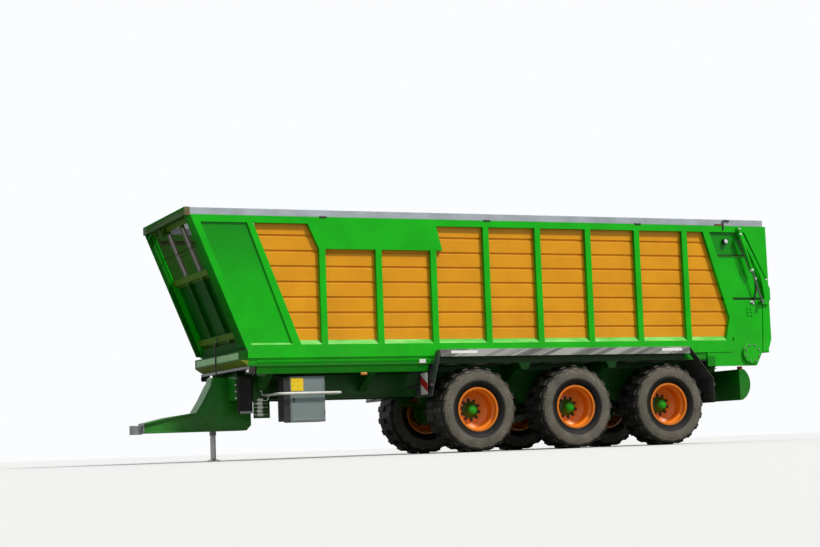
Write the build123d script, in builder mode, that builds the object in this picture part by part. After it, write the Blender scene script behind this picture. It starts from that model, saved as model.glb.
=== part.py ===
from build123d import *
import math
import os

os.makedirs("parts", exist_ok=True)

# Silage trailer on three axles, parked on its jack. Millimetres, +X forward, +Y left, +Z up,
# with the origin on the ground under the middle of the whole trailer.

# Wheels and axles
TYRE_RADIUS = 690
TYRE_HALF_WIDTH = 325
TREAD_DEPTH = 26
LUGS = 20
LUG_WIDTH = 92
RIM_SEAT_RADIUS = 336
RIM_LIP = 24
RIM_HALF_WIDTH = 272
RIM_WALL = 8
BEAD_GAP = 0.3
TRACK = 2100
AXLE_SPACING = 1810
MID_AXLE_X = -1600
KINGPIN_Y = 650
KINGPIN_RADIUS = 28
SPINDLE_RADIUS = 40
RUNNING_GAP = 0.05
BEAM_SIZE = 150
STEER_ARM = 260

# Heights that stand on one another
TYRE_CLEARANCE = 70
BODY_LIFT = 120
RAIL_HEIGHT = 380
SILL_STEP = 123
SILL_HEIGHT = 330
SILL_CHAMFER = 70
WALL_HEIGHT = 1910
TOP_RAIL_HEIGHT = 110
BOARD_HEIGHT = 120
FLOOR_HEIGHT = 155

# Chassis
RAIL_Y = 440
RAIL_FLANGE = 120
RAIL_PLATE = 14
RAIL_REAR_INSET = 690

# Load body: lengths are counted from its rear end and from the foot of the headboard
BODY_HALF_WIDTH = 1250
WALL_THICK = 100
SHEET_INSET = 70
SILL_SET_BACK = 35
SILL_FRONT_X = 4080
REAR_X = -5650
SILL_REAR_INSET = 830
BOARD_THICK = 50
BOARD_OVERHANG = 75
BOARD_REAR_INSET = 45
FLOOR_PLATE = 8
FLOOR_BEAM_HEIGHT = 90
FLOOR_FRONT_INSET = 260
FLOOR_REAR_INSET = 540

# Ribs and corrugated sheets of the side walls
RIB_WIDTH = 105
RIB_PITCH = 964
RIB_COUNT = 8
RIB_FIRST_INSET = 1276
SHORT_RIBS = 3
NAME_PLATE_HEIGHT = 400
GROOVE_DROP = 190
GROOVE_PITCH = 244
GROOVE_COUNT = 7
GROOVE_WIDTH = 44
GROOVE_DEPTH = 20
SHEET_WALL = 5

# Headboard, leaning forward
HEAD_LEAN = 824
HEAD_FOOT = 47
POST_WIDTH = 112
HEAD_BEAM = 110
HEAD_BEAM_DEPTH = 66
HEAD_SHEET = 6
HEAD_TUBE_Y = 400
HEAD_TUBE_WIDTH = 80
BAR_PITCH = 64
BAR_WIDTH = 12

# Scraper floor
CHAIN_RADIUS = 70
CHAIN_HEIGHT = 30
CHAIN_WIDTH = 24
CHAIN_Y = (-1000, -400, 400, 1000)
SHAFT_RADIUS = 30
SLAT_PITCH = 500
SLAT_SIDE_GAP = 30
SLAT_WIDTH = 50
SLAT_HEIGHT = 40
DRIVE_FLANGE_RADIUS = 180

# Tailgate and its cylinders
GATE_PIN_RADIUS = 25
GATE_ARM_GAP = 6
GATE_ARM_THICK = 34
BARREL_PIN_RADIUS = 18
BARREL_GAP = 40
BARREL_RADIUS = 32
BARREL_LENGTH = 700
ROD_RADIUS = 16
GATE_PANEL_GAP = 15
GATE_PANEL = 8
GATE_BEAM_DEPTH = 48
GATE_BEAM = 80

# Fenders
FENDER_REACH = 45
FENDER_SHEET = 8
FENDER_RISE = 218
FENDER_LIP = 118
FENDER_STAY_RADIUS = 22

# Drawbar, coupling and jack
DRAWBAR_LENGTH = 1490
DRAWBAR_HALF_WIDTH = 145
DRAWBAR_FLANGE = 45
DRAWBAR_PLATE = 24
DRAWBAR_BOTTOM_Z = 480
COUPLING_REACH = 112
COUPLING_Z = 500
COUPLING_OUTER_RADIUS = 88
SOCKET_RADIUS = 40.5
SOCKET_MOUTH = 35
JACK_INSET = 240
JACK_Y = -330
JACK_TUBE_RADIUS = 55
JACK_LEG_RADIUS = 45
JACK_TUBE_BOTTOM_Z = 420
JACK_FOOT_RADIUS = 120

# Places that follow from the sizes above
AXLE_Z = TYRE_RADIUS
RIM_LIP_RADIUS = RIM_SEAT_RADIUS + RIM_LIP
SILL_BOTTOM_Z = 2 * TYRE_RADIUS + TYRE_CLEARANCE
SILL_TOP_Z = SILL_BOTTOM_Z + SILL_HEIGHT
SILL_FACE_Z = SILL_BOTTOM_Z + SILL_STEP
SILL_CHAMFER_Z = SILL_TOP_Z + SILL_CHAMFER
RAIL_TOP_Z = SILL_BOTTOM_Z - BODY_LIFT
RAIL_BOTTOM_Z = RAIL_TOP_Z - RAIL_HEIGHT
RAIL_MIDDLE_Z = (RAIL_BOTTOM_Z + RAIL_TOP_Z) / 2
RAIL_FRONT_X = SILL_FRONT_X - BODY_LIFT
RAIL_REAR_X = REAR_X + RAIL_REAR_INSET
TOP_RAIL_BOTTOM_Z = SILL_TOP_Z + WALL_HEIGHT
TOP_RAIL_TOP_Z = TOP_RAIL_BOTTOM_Z + TOP_RAIL_HEIGHT
BOARD_TOP_Z = TOP_RAIL_TOP_Z + BOARD_HEIGHT
FLOOR_TOP_Z = SILL_BOTTOM_Z + FLOOR_HEIGHT
FLOOR_FRONT_X = SILL_FRONT_X - FLOOR_FRONT_INSET
FLOOR_REAR_X = REAR_X + FLOOR_REAR_INSET
SILL_REAR_X = REAR_X + SILL_REAR_INSET
WALL_INNER_Y = BODY_HALF_WIDTH - WALL_THICK
SHEET_Y = BODY_HALF_WIDTH - SHEET_INSET
PANEL_INNER_Y = SHEET_Y + 10
PANEL_Y = BODY_HALF_WIDTH - 25
REAR_PLATE_Y = BODY_HALF_WIDTH - 40
REAR_LOW_Y = BODY_HALF_WIDTH - 10
RIB_FIRST_X = SILL_FRONT_X - RIB_FIRST_INSET
GATE_ARM_Y = BODY_HALF_WIDTH + GATE_ARM_GAP
BARREL_Y = GATE_ARM_Y + GATE_ARM_THICK + BARREL_GAP
GATE_PIVOT_X = REAR_X + 584
GATE_PIVOT_Z = TOP_RAIL_TOP_Z - TOP_RAIL_HEIGHT / 2
BARREL_PIN_X = REAR_X + 605
BARREL_PIN_Z = TOP_RAIL_BOTTOM_Z - 50
ROD_EYE_X = REAR_X + 210
ROD_EYE_Z = TOP_RAIL_BOTTOM_Z - 1240
FENDER_Y = TRACK / 2 + TYRE_HALF_WIDTH + FENDER_REACH
FENDER_INNER_Y = TRACK / 2 - TYRE_HALF_WIDTH + 5
FENDER_TOP_Z = SILL_BOTTOM_Z + FENDER_RISE
FENDER_FRONT_X = MID_AXLE_X + AXLE_SPACING + TYRE_RADIUS - 10
FENDER_REAR_X = MID_AXLE_X - AXLE_SPACING - 420
DRAWBAR_FRONT_X = RAIL_FRONT_X + DRAWBAR_LENGTH
COUPLING_X = DRAWBAR_FRONT_X + COUPLING_REACH
JACK_X = RAIL_FRONT_X + JACK_INSET
JACK_TUBE_TOP_Z = RAIL_TOP_Z - 40
SHAFT_Z = FLOOR_TOP_Z - CHAIN_RADIUS + CHAIN_HEIGHT / 2
DRIVE_SHAFT_X = FLOOR_REAR_X - CHAIN_RADIUS - 20
IDLER_SHAFT_X = FLOOR_FRONT_X + CHAIN_RADIUS + 10

AXLES = (  # name, x, steered
    ("front", MID_AXLE_X + AXLE_SPACING, True),
    ("middle", MID_AXLE_X, False),
    ("rear", MID_AXLE_X - AXLE_SPACING, True),
)
SIDES = (("left", 1), ("right", -1))  # name, sign of Y


def side_plane(y):
    """A plane at the given Y for side views: its extrusions run towards -Y."""
    return Plane.XZ.offset(-y)


def wheel_plane(x, side):
    """A plane through a wheel's axis: local x points outwards, local y up."""
    return Plane(origin=(x, 0, AXLE_Z), x_dir=(0, side, 0), z_dir=(side, 0, 0))


def head_x(z):
    """X of the headboard's front face at a height."""
    return SILL_FRONT_X + HEAD_FOOT + (z - SILL_TOP_Z) * HEAD_LEAN / (TOP_RAIL_TOP_Z - SILL_TOP_Z)


def seam_x(z):
    """X of the joint between the rear side plate and the tailgate's post at a height."""
    knee_z = TOP_RAIL_BOTTOM_Z - 1020
    foot_z = SILL_TOP_Z - 205
    return REAR_X + 130 + 60 * (knee_z - z) / (knee_z - foot_z)


# Chassis frame: two I beams, cross tubes, outriggers and the hangers of the axle arms
CROSS_TUBES = 6
CROSS_TUBE_RADIUS = 70
OUTRIGGER_WIDTH = 120
OUTRIGGER_END_HEIGHT = 115
OUTRIGGER_FLARE = 50
OUTRIGGER_PLATE = 12
OUTRIGGERS = (  # x, outer end set in from the body's side
    (RAIL_FRONT_X - 310, 105),
    (RAIL_FRONT_X - 2060, 105),
    (MID_AXLE_X + AXLE_SPACING / 2 - 35, 40),
    (MID_AXLE_X - AXLE_SPACING / 2 + 115, 40),
    (RAIL_REAR_X + 400, 62),
)
HANGER_AHEAD = 560
HANGER_DROP = 90
HANGER_PIN_RADIUS = 25
HANGER_PLATE = 10
ARM_WIDTH = 90
HANGER_PIN_Z = RAIL_BOTTOM_Z - HANGER_DROP

with BuildPart() as chassis_frame:
    with BuildSketch(Plane.YZ.offset(RAIL_REAR_X)):
        for side in (-1, 1):
            with Locations((side * RAIL_Y, RAIL_MIDDLE_Z)):
                Rectangle(RAIL_PLATE, RAIL_HEIGHT)
            with Locations((side * RAIL_Y, RAIL_BOTTOM_Z + RAIL_PLATE / 2),
                           (side * RAIL_Y, RAIL_TOP_Z - RAIL_PLATE / 2)):
                Rectangle(RAIL_FLANGE, RAIL_PLATE)
    extrude(amount=RAIL_FRONT_X - RAIL_REAR_X)
    with BuildSketch(Plane.XZ):
        for index in range(CROSS_TUBES):
            tube_x = RAIL_FRONT_X - 260 - index * (RAIL_FRONT_X - RAIL_REAR_X - 900) / (CROSS_TUBES - 1)
            with Locations((tube_x, RAIL_MIDDLE_Z)):
                Circle(CROSS_TUBE_RADIUS)
    extrude(amount=RAIL_Y, both=True)
    for x, inset in OUTRIGGERS:
        for side in (-1, 1):
            end_y = BODY_HALF_WIDTH - inset
            with BuildSketch(Plane.YZ.offset(x - OUTRIGGER_WIDTH / 2)):
                with BuildLine():
                    Polyline(
                        (side * RAIL_Y, RAIL_TOP_Z - 270),
                        (side * (RAIL_Y + RAIL_FLANGE / 2), RAIL_TOP_Z - 270),
                        (side * (WALL_INNER_Y - 150), SILL_BOTTOM_Z - OUTRIGGER_END_HEIGHT),
                        (side * end_y, SILL_BOTTOM_Z - OUTRIGGER_END_HEIGHT),
                        (side * end_y, SILL_BOTTOM_Z - 10), (side * RAIL_Y, SILL_BOTTOM_Z - 10),
                        close=True)
                make_face()
            extrude(amount=OUTRIGGER_WIDTH)
            # The outrigger's end widens under the sill
            with BuildSketch(side_plane(side * end_y + (0 if side > 0 else OUTRIGGER_PLATE))):
                with BuildLine():
                    Polyline((x - OUTRIGGER_WIDTH / 2, SILL_BOTTOM_Z - OUTRIGGER_END_HEIGHT),
                             (x + OUTRIGGER_WIDTH / 2, SILL_BOTTOM_Z - OUTRIGGER_END_HEIGHT),
                             (x + OUTRIGGER_WIDTH / 2 + OUTRIGGER_FLARE, SILL_BOTTOM_Z),
                             (x - OUTRIGGER_WIDTH / 2 - OUTRIGGER_FLARE, SILL_BOTTOM_Z), close=True)
                make_face()
            extrude(amount=OUTRIGGER_PLATE)
    for _, axle_x, _ in AXLES:
        for side in (-1, 1):
            for y in (side * RAIL_Y - (ARM_WIDTH + HANGER_PLATE) / 2 - 1,
                      side * RAIL_Y + (ARM_WIDTH + HANGER_PLATE) / 2 + 1):
                with BuildSketch(side_plane(y + HANGER_PLATE / 2)):
                    with BuildLine():
                        Polyline((axle_x + HANGER_AHEAD - 130, RAIL_BOTTOM_Z + 1),
                                 (axle_x + HANGER_AHEAD - 60, HANGER_PIN_Z - 60),
                                 (axle_x + HANGER_AHEAD + 60, HANGER_PIN_Z - 60),
                                 (axle_x + HANGER_AHEAD + 130, RAIL_BOTTOM_Z + 1), close=True)
                    make_face()
                extrude(amount=HANGER_PLATE)
            with BuildSketch(side_plane(side * RAIL_Y + ARM_WIDTH / 2 + HANGER_PLATE + 8)):
                with Locations((axle_x + HANGER_AHEAD, HANGER_PIN_Z)):
                    Circle(HANGER_PIN_RADIUS)
            extrude(amount=ARM_WIDTH + 2 * HANGER_PLATE + 16)
chassis_frame.part.label = "chassis_frame"
export_step(chassis_frame.part, "parts/chassis_frame.step")

# Axle beams: square tubes with a kingpin boss at each end of the steered ones
BEAM_CORNER = 16
BOSS_RADIUS = 60
BOSS_HALF = 100
SPINDLE_END_Y = TRACK / 2 + 20
with BuildPart() as axle_beams:
    for _, axle_x, steered in AXLES:
        beam_end = KINGPIN_Y - 20 if steered else TRACK / 2 - TYRE_HALF_WIDTH + 70
        with BuildSketch(Plane.XZ):
            with Locations((axle_x, AXLE_Z)):
                RectangleRounded(BEAM_SIZE, BEAM_SIZE, BEAM_CORNER)
        extrude(amount=beam_end, both=True)
        for side in (-1, 1):
            if steered:
                with Locations((axle_x, side * KINGPIN_Y, AXLE_Z)):
                    Cylinder(BOSS_RADIUS, 2 * BOSS_HALF)
                    Cylinder(KINGPIN_RADIUS + RUNNING_GAP, 2 * BOSS_HALF, mode=Mode.SUBTRACT)
            else:
                with BuildSketch(wheel_plane(axle_x, side)):
                    with BuildLine():
                        Polyline((beam_end - 1, 0), (beam_end - 1, SPINDLE_RADIUS),
                                 (SPINDLE_END_Y - 10, SPINDLE_RADIUS), (SPINDLE_END_Y, 0), close=True)
                    make_face()
                revolve(axis=Axis((axle_x, 0, AXLE_Z), (0, 1, 0)))
axle_beams.part.label = "axle_beams"
export_step(axle_beams.part, "parts/axle_beams.step")

# Trailing arms that hold the axle beams under the rails
ARM_REAR = 300
ARM_SEAT = BEAM_SIZE / 2 + 60
ARM_EYE_RADIUS = 42
with BuildPart() as suspension_arms:
    for _, axle_x, _ in AXLES:
        pin_x = axle_x + HANGER_AHEAD
        for side in (-1, 1):
            with BuildSketch(side_plane(side * RAIL_Y + ARM_WIDTH / 2)):
                with BuildLine():
                    Polyline((pin_x, HANGER_PIN_Z + ARM_EYE_RADIUS - 2), (axle_x + 60, AXLE_Z + ARM_SEAT + 10),
                             (axle_x - 120, AXLE_Z + ARM_SEAT), (axle_x - ARM_REAR, AXLE_Z + ARM_SEAT),
                             (axle_x - ARM_REAR, AXLE_Z + ARM_SEAT - 30),
                             (axle_x - BEAM_SIZE / 2, AXLE_Z + BEAM_SIZE / 2),
                             (axle_x + BEAM_SIZE / 2, AXLE_Z + BEAM_SIZE / 2),
                             (pin_x, HANGER_PIN_Z - ARM_EYE_RADIUS + 2), close=True)
                make_face()
                with Locations((pin_x, HANGER_PIN_Z)):
                    Circle(ARM_EYE_RADIUS)
                    Circle(HANGER_PIN_RADIUS + BEAD_GAP, mode=Mode.SUBTRACT)
            extrude(amount=ARM_WIDTH)
suspension_arms.part.label = "suspension_arms"
export_step(suspension_arms.part, "parts/suspension_arms.step")

# Hydraulic suspension cylinders between the arms' rear ends and the rails
SUSPENSION_RADIUS = 40
with BuildPart() as suspension_cylinders:
    for _, axle_x, _ in AXLES:
        for side in (-1, 1):
            with BuildSketch(Plane.XY.offset(AXLE_Z + ARM_SEAT)):
                with Locations((axle_x - ARM_REAR + 70, side * RAIL_Y)):
                    Circle(SUSPENSION_RADIUS)
            extrude(amount=RAIL_BOTTOM_Z - AXLE_Z - ARM_SEAT)
suspension_cylinders.part.label = "suspension_cylinders"
export_step(suspension_cylinders.part, "parts/suspension_cylinders.step")

# Knuckles of the steered axles: a yoke round the beam's boss, the spindle and the steering arm
LUG_GAP = 2
YOKE_THICK = 44
YOKE_WIDTH = 124
YOKE_IN = KINGPIN_Y + BOSS_RADIUS + 5
YOKE_OUT = YOKE_IN + 35
ARM_PLATE = 24
YOKE_HALF = BOSS_HALF + LUG_GAP + YOKE_THICK
ARM_PLATE_Z = AXLE_Z - YOKE_HALF
TRACK_ROD_RADIUS = 20
TRACK_EYE_RADIUS = 26
TRACK_PIN_RADIUS = 13
for axle_name, axle_x, steered in AXLES:
    if not steered:
        continue
    for side_name, side in SIDES:
        with BuildPart() as knuckle:
            for z in (AXLE_Z + BOSS_HALF + LUG_GAP, ARM_PLATE_Z):
                with BuildSketch(Plane.XY.offset(z)):
                    with Locations((axle_x, side * KINGPIN_Y)):
                        Circle(YOKE_WIDTH / 2)
                    with Locations((axle_x, side * (KINGPIN_Y + YOKE_OUT) / 2)):
                        Rectangle(YOKE_WIDTH, YOKE_OUT - KINGPIN_Y)
                extrude(amount=YOKE_THICK)
            with Locations((axle_x, side * (YOKE_IN + YOKE_OUT) / 2, AXLE_Z)):
                Box(YOKE_WIDTH, YOKE_OUT - YOKE_IN, 2 * YOKE_HALF)
            with Locations((axle_x, side * KINGPIN_Y, AXLE_Z)):
                Cylinder(KINGPIN_RADIUS, 2 * YOKE_HALF + 16)
            with BuildSketch(wheel_plane(axle_x, side)):
                with BuildLine():
                    Polyline((YOKE_OUT - 1, 0), (YOKE_OUT - 1, SPINDLE_RADIUS),
                             (SPINDLE_END_Y - 10, SPINDLE_RADIUS), (SPINDLE_END_Y, 0), close=True)
                make_face()
            revolve(axis=Axis((axle_x, 0, AXLE_Z), (0, 1, 0)))
            with BuildSketch(Plane.XY.offset(ARM_PLATE_Z)):
                with BuildLine():
                    Polyline((axle_x - 30, side * (KINGPIN_Y + 50)), (axle_x - 30, side * (KINGPIN_Y - 50)),
                             (axle_x - STEER_ARM, side * (KINGPIN_Y - TRACK_EYE_RADIUS)),
                             (axle_x - STEER_ARM, side * (KINGPIN_Y + TRACK_EYE_RADIUS)), close=True)
                make_face()
                with Locations((axle_x - STEER_ARM, side * KINGPIN_Y)):
                    Circle(TRACK_EYE_RADIUS)
                    Circle(TRACK_PIN_RADIUS + RUNNING_GAP, mode=Mode.SUBTRACT)
            extrude(amount=ARM_PLATE)
        knuckle.part.label = f"knuckle_{axle_name}_{side_name}"
        export_step(knuckle.part, f"parts/knuckle_{axle_name}_{side_name}.step")

    # Track rod between the two steering arms of this axle
    rod_eye_top = ARM_PLATE_Z - LUG_GAP
    with BuildPart() as track_rod:
        with BuildSketch(side_plane(KINGPIN_Y)):
            with Locations((axle_x - STEER_ARM, rod_eye_top - TRACK_ROD_RADIUS)):
                Circle(TRACK_ROD_RADIUS)
        extrude(amount=2 * KINGPIN_Y)
        for side in (-1, 1):
            with BuildSketch(Plane.XY.offset(rod_eye_top - 2 * TRACK_ROD_RADIUS)):
                with Locations((axle_x - STEER_ARM, side * KINGPIN_Y)):
                    Circle(TRACK_EYE_RADIUS)
            extrude(amount=2 * TRACK_ROD_RADIUS)
            with BuildSketch(Plane.XY.offset(rod_eye_top - 1)):
                with Locations((axle_x - STEER_ARM, side * KINGPIN_Y)):
                    Circle(TRACK_PIN_RADIUS)
            extrude(amount=LUG_GAP + ARM_PLATE + 8)
    track_rod.part.label = f"track_rod_{axle_name}"
    export_step(track_rod.part, f"parts/track_rod_{axle_name}.step")

# Wheels: a deep-dish rim with its hub, and a tyre with two rows of lugs that take turns
WELL_DEPTH = 30
HUB_RADIUS = 195
HUB_REACH = 240
SPIGOT_RADIUS = 140
DISC_OFFSET = -60
DISC_THICK = 12
CAP_RADIUS = 80
CAP_FACE = 70
WELL_RADIUS = RIM_SEAT_RADIUS - WELL_DEPTH
BULGE_RADIUS = (RIM_LIP_RADIUS + TYRE_RADIUS) / 2 - 25
SHOULDER_DROP = 50
TREAD_INSET = 63
for axle_name, axle_x, _ in AXLES:
    for side_name, side in SIDES:
        centre = TRACK / 2
        seat = RIM_HALF_WIDTH - 80
        with BuildPart() as wheel:
            with BuildSketch(wheel_plane(axle_x, side)):
                with BuildLine():
                    Polyline(
                        (centre + RIM_HALF_WIDTH, RIM_LIP_RADIUS),
                        (centre + RIM_HALF_WIDTH - 10, RIM_LIP_RADIUS),
                        (centre + RIM_HALF_WIDTH - 10, RIM_SEAT_RADIUS),
                        (centre + seat, RIM_SEAT_RADIUS), (centre + seat - WELL_DEPTH, WELL_RADIUS),
                        (centre - seat + WELL_DEPTH, WELL_RADIUS), (centre - seat, RIM_SEAT_RADIUS),
                        (centre - RIM_HALF_WIDTH + 10, RIM_SEAT_RADIUS),
                        (centre - RIM_HALF_WIDTH + 10, RIM_LIP_RADIUS),
                        (centre - RIM_HALF_WIDTH, RIM_LIP_RADIUS),
                        (centre - RIM_HALF_WIDTH, RIM_SEAT_RADIUS - RIM_WALL),
                        (centre - seat - 3, RIM_SEAT_RADIUS - RIM_WALL),
                        (centre - seat + WELL_DEPTH - 3, WELL_RADIUS - RIM_WALL),
                        (centre + seat - WELL_DEPTH + 3, WELL_RADIUS - RIM_WALL),
                        (centre + seat + 3, RIM_SEAT_RADIUS - RIM_WALL),
                        (centre + RIM_HALF_WIDTH, RIM_SEAT_RADIUS - RIM_WALL), close=True)
                make_face()
                with BuildLine():
                    Polyline(
                        (centre + DISC_OFFSET, SPIGOT_RADIUS - 10), (centre + DISC_OFFSET, HUB_RADIUS + 17),
                        (centre - 2, WELL_RADIUS - RIM_WALL / 2), (centre - 18, WELL_RADIUS - RIM_WALL / 2),
                        (centre + DISC_OFFSET - DISC_THICK, HUB_RADIUS + 23),
                        (centre + DISC_OFFSET - DISC_THICK, SPIGOT_RADIUS - 10), close=True)
                make_face()
                with BuildLine():
                    Polyline(
                        (centre - HUB_REACH, SPINDLE_RADIUS + RUNNING_GAP), (centre - HUB_REACH, HUB_RADIUS),
                        (centre - HUB_REACH + 10, HUB_RADIUS + 10),
                        (centre + DISC_OFFSET - 34, HUB_RADIUS + 10), (centre + DISC_OFFSET - 34, HUB_RADIUS),
                        (centre + DISC_OFFSET - DISC_THICK, HUB_RADIUS),
                        (centre + DISC_OFFSET, SPIGOT_RADIUS), (centre - 34, SPIGOT_RADIUS),
                        (centre - 20, SPIGOT_RADIUS - 28), (centre + 16, CAP_RADIUS + 6),
                        (centre + 20, CAP_RADIUS), (centre + CAP_FACE - 12, CAP_RADIUS),
                        (centre + CAP_FACE, CAP_RADIUS - 12), (centre + CAP_FACE, 0), (centre + 30, 0),
                        (centre + 30, SPINDLE_RADIUS + RUNNING_GAP), close=True)
                make_face()
            revolve(axis=Axis((axle_x, 0, AXLE_Z), (0, 1, 0)))
        wheel.part.label = f"wheel_{axle_name}_{side_name}"
        export_step(wheel.part, f"parts/wheel_{axle_name}_{side_name}.step")

        bead = RIM_HALF_WIDTH - 10 - BEAD_GAP
        bead_radius = RIM_SEAT_RADIUS + BEAD_GAP
        tread_radius = TYRE_RADIUS - TREAD_DEPTH
        shoulder = TYRE_HALF_WIDTH - 25
        tread = TYRE_HALF_WIDTH - TREAD_INSET
        with BuildPart() as tyre:
            with BuildSketch(wheel_plane(axle_x, side)):
                with BuildLine():
                    Line((centre + bead, bead_radius), (centre + bead, RIM_LIP_RADIUS + 4))
                    ThreePointArc((centre + bead, RIM_LIP_RADIUS + 4), (centre + TYRE_HALF_WIDTH, BULGE_RADIUS),
                                  (centre + shoulder, TYRE_RADIUS - SHOULDER_DROP))
                    Polyline((centre + shoulder, TYRE_RADIUS - SHOULDER_DROP), (centre + tread, tread_radius),
                             (centre - tread, tread_radius), (centre - shoulder, TYRE_RADIUS - SHOULDER_DROP))
                    ThreePointArc((centre - shoulder, TYRE_RADIUS - SHOULDER_DROP),
                                  (centre - TYRE_HALF_WIDTH, BULGE_RADIUS), (centre - bead, RIM_LIP_RADIUS + 4))
                    Polyline((centre - bead, RIM_LIP_RADIUS + 4), (centre - bead, bead_radius),
                             (centre + bead, bead_radius))
                make_face()
            revolve(axis=Axis((axle_x, 0, AXLE_Z), (0, 1, 0)))
            for row, first in ((1, 0), (-1, 180 / LUGS)):
                with BuildPart(Plane.XY, mode=Mode.PRIVATE) as lug:
                    with BuildSketch(Plane.YZ.offset(-LUG_WIDTH / 2)):
                        with BuildLine():
                            Polyline((row * 10, tread_radius - 4), (row * 24, TYRE_RADIUS),
                                     (row * (tread - 6), TYRE_RADIUS),
                                     (row * (TYRE_HALF_WIDTH - 3), TYRE_RADIUS - SHOULDER_DROP - 24),
                                     (row * shoulder, TYRE_RADIUS - SHOULDER_DROP - 40), close=True)
                        make_face()
                    extrude(amount=LUG_WIDTH)
                with Locations(*[Location((axle_x, side * centre, AXLE_Z), (0, first + index * 360 / LUGS, 0))
                                 for index in range(LUGS)]):
                    add(lug.part)
        tyre.part.label = f"tyre_{axle_name}_{side_name}"
        export_step(tyre.part, f"parts/tyre_{axle_name}_{side_name}.step")

# Drawbar: a deep box beam between flange plates, which rises into a column before the rails
COLUMN_DEPTH = 400
HEEL_REACH = 260
NECK_RISE = 302
TIP_HEIGHT = 160
with BuildPart() as drawbar:
    heel_x = RAIL_FRONT_X - HEEL_REACH
    neck_x = RAIL_FRONT_X + COLUMN_DEPTH + 260
    back = [(RAIL_FRONT_X + COLUMN_DEPTH - 30, RAIL_TOP_Z), (RAIL_FRONT_X + COLUMN_DEPTH, RAIL_TOP_Z - 100),
            (neck_x - 120, RAIL_BOTTOM_Z + 17), (neck_x, DRAWBAR_BOTTOM_Z + NECK_RISE),
            (DRAWBAR_FRONT_X - 352, DRAWBAR_BOTTOM_Z + 237), (DRAWBAR_FRONT_X, DRAWBAR_BOTTOM_Z + TIP_HEIGHT)]
    with BuildSketch(side_plane(DRAWBAR_HALF_WIDTH)):
        with BuildLine():
            Polyline((DRAWBAR_FRONT_X, DRAWBAR_BOTTOM_Z), (heel_x + 80, DRAWBAR_BOTTOM_Z),
                     (heel_x, DRAWBAR_BOTTOM_Z + 80), (heel_x, RAIL_BOTTOM_Z - 1),
                     (RAIL_FRONT_X, RAIL_BOTTOM_Z - 1), (RAIL_FRONT_X, RAIL_TOP_Z), *back, close=True)
        make_face()
    extrude(amount=2 * DRAWBAR_HALF_WIDTH)
    # Flange plates along the bottom and over the back of the beam
    with BuildSketch(side_plane(DRAWBAR_HALF_WIDTH + DRAWBAR_FLANGE)):
        with BuildLine():
            Polyline((DRAWBAR_FRONT_X, DRAWBAR_BOTTOM_Z), (heel_x + 80, DRAWBAR_BOTTOM_Z),
                     (heel_x + 80, DRAWBAR_BOTTOM_Z + DRAWBAR_PLATE),
                     (DRAWBAR_FRONT_X, DRAWBAR_BOTTOM_Z + DRAWBAR_PLATE), close=True)
        make_face()
        with BuildLine():
            Polyline(*back[1:], *[(x, z - DRAWBAR_PLATE) for x, z in reversed(back[2:])],
                     (back[1][0] - DRAWBAR_PLATE, back[1][1]), close=True)
        make_face()
    extrude(amount=2 * (DRAWBAR_HALF_WIDTH + DRAWBAR_FLANGE))
    with Locations((RAIL_FRONT_X + 60, 0, RAIL_MIDDLE_Z)):
        Box(120, 2 * RAIL_Y + RAIL_FLANGE, RAIL_HEIGHT)
    # Pins of the sprung drawbar, across the column
    for x, z in ((RAIL_FRONT_X + 200, RAIL_TOP_Z - 100), (RAIL_FRONT_X + 60, RAIL_BOTTOM_Z - 172)):
        with BuildSketch(side_plane(DRAWBAR_HALF_WIDTH + 25)):
            with Locations((x, z)):
                Circle(45)
        extrude(amount=2 * (DRAWBAR_HALF_WIDTH + 25))
drawbar.part.label = "drawbar"
export_step(drawbar.part, "parts/drawbar.step")

# Coupling head: a bolted flange and a cup that sits on the tow ball
COUPLING_PLATE = 24
COUPLING_NECK_WIDTH = 150
CUP_HEIGHT = 105
with BuildPart() as coupling_head:
    with Locations((DRAWBAR_FRONT_X + COUPLING_PLATE / 2, 0, DRAWBAR_BOTTOM_Z + TIP_HEIGHT / 2 + 5)):
        Box(COUPLING_PLATE, 2 * DRAWBAR_HALF_WIDTH, TIP_HEIGHT - 10)
    with BuildSketch(Plane.XY.offset(COUPLING_Z - SOCKET_MOUTH)):
        with Locations((COUPLING_X, 0)):
            Circle(COUPLING_OUTER_RADIUS)
        with Locations(((DRAWBAR_FRONT_X + COUPLING_PLATE - 4 + COUPLING_X) / 2, 0)):
            Rectangle(COUPLING_X - DRAWBAR_FRONT_X - COUPLING_PLATE + 4, COUPLING_NECK_WIDTH)
    extrude(amount=SOCKET_MOUTH + CUP_HEIGHT)
    with BuildSketch(Plane.XY.offset(COUPLING_Z - SOCKET_MOUTH)):
        with Locations((COUPLING_X, 0)):
            Circle(SOCKET_RADIUS)
    extrude(amount=SOCKET_MOUTH, mode=Mode.SUBTRACT)
    with Locations((COUPLING_X, 0, COUPLING_Z)):
        Sphere(SOCKET_RADIUS, mode=Mode.SUBTRACT)
coupling_head.part.label = "coupling_head"
export_step(coupling_head.part, "parts/coupling_head.step")

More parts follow.
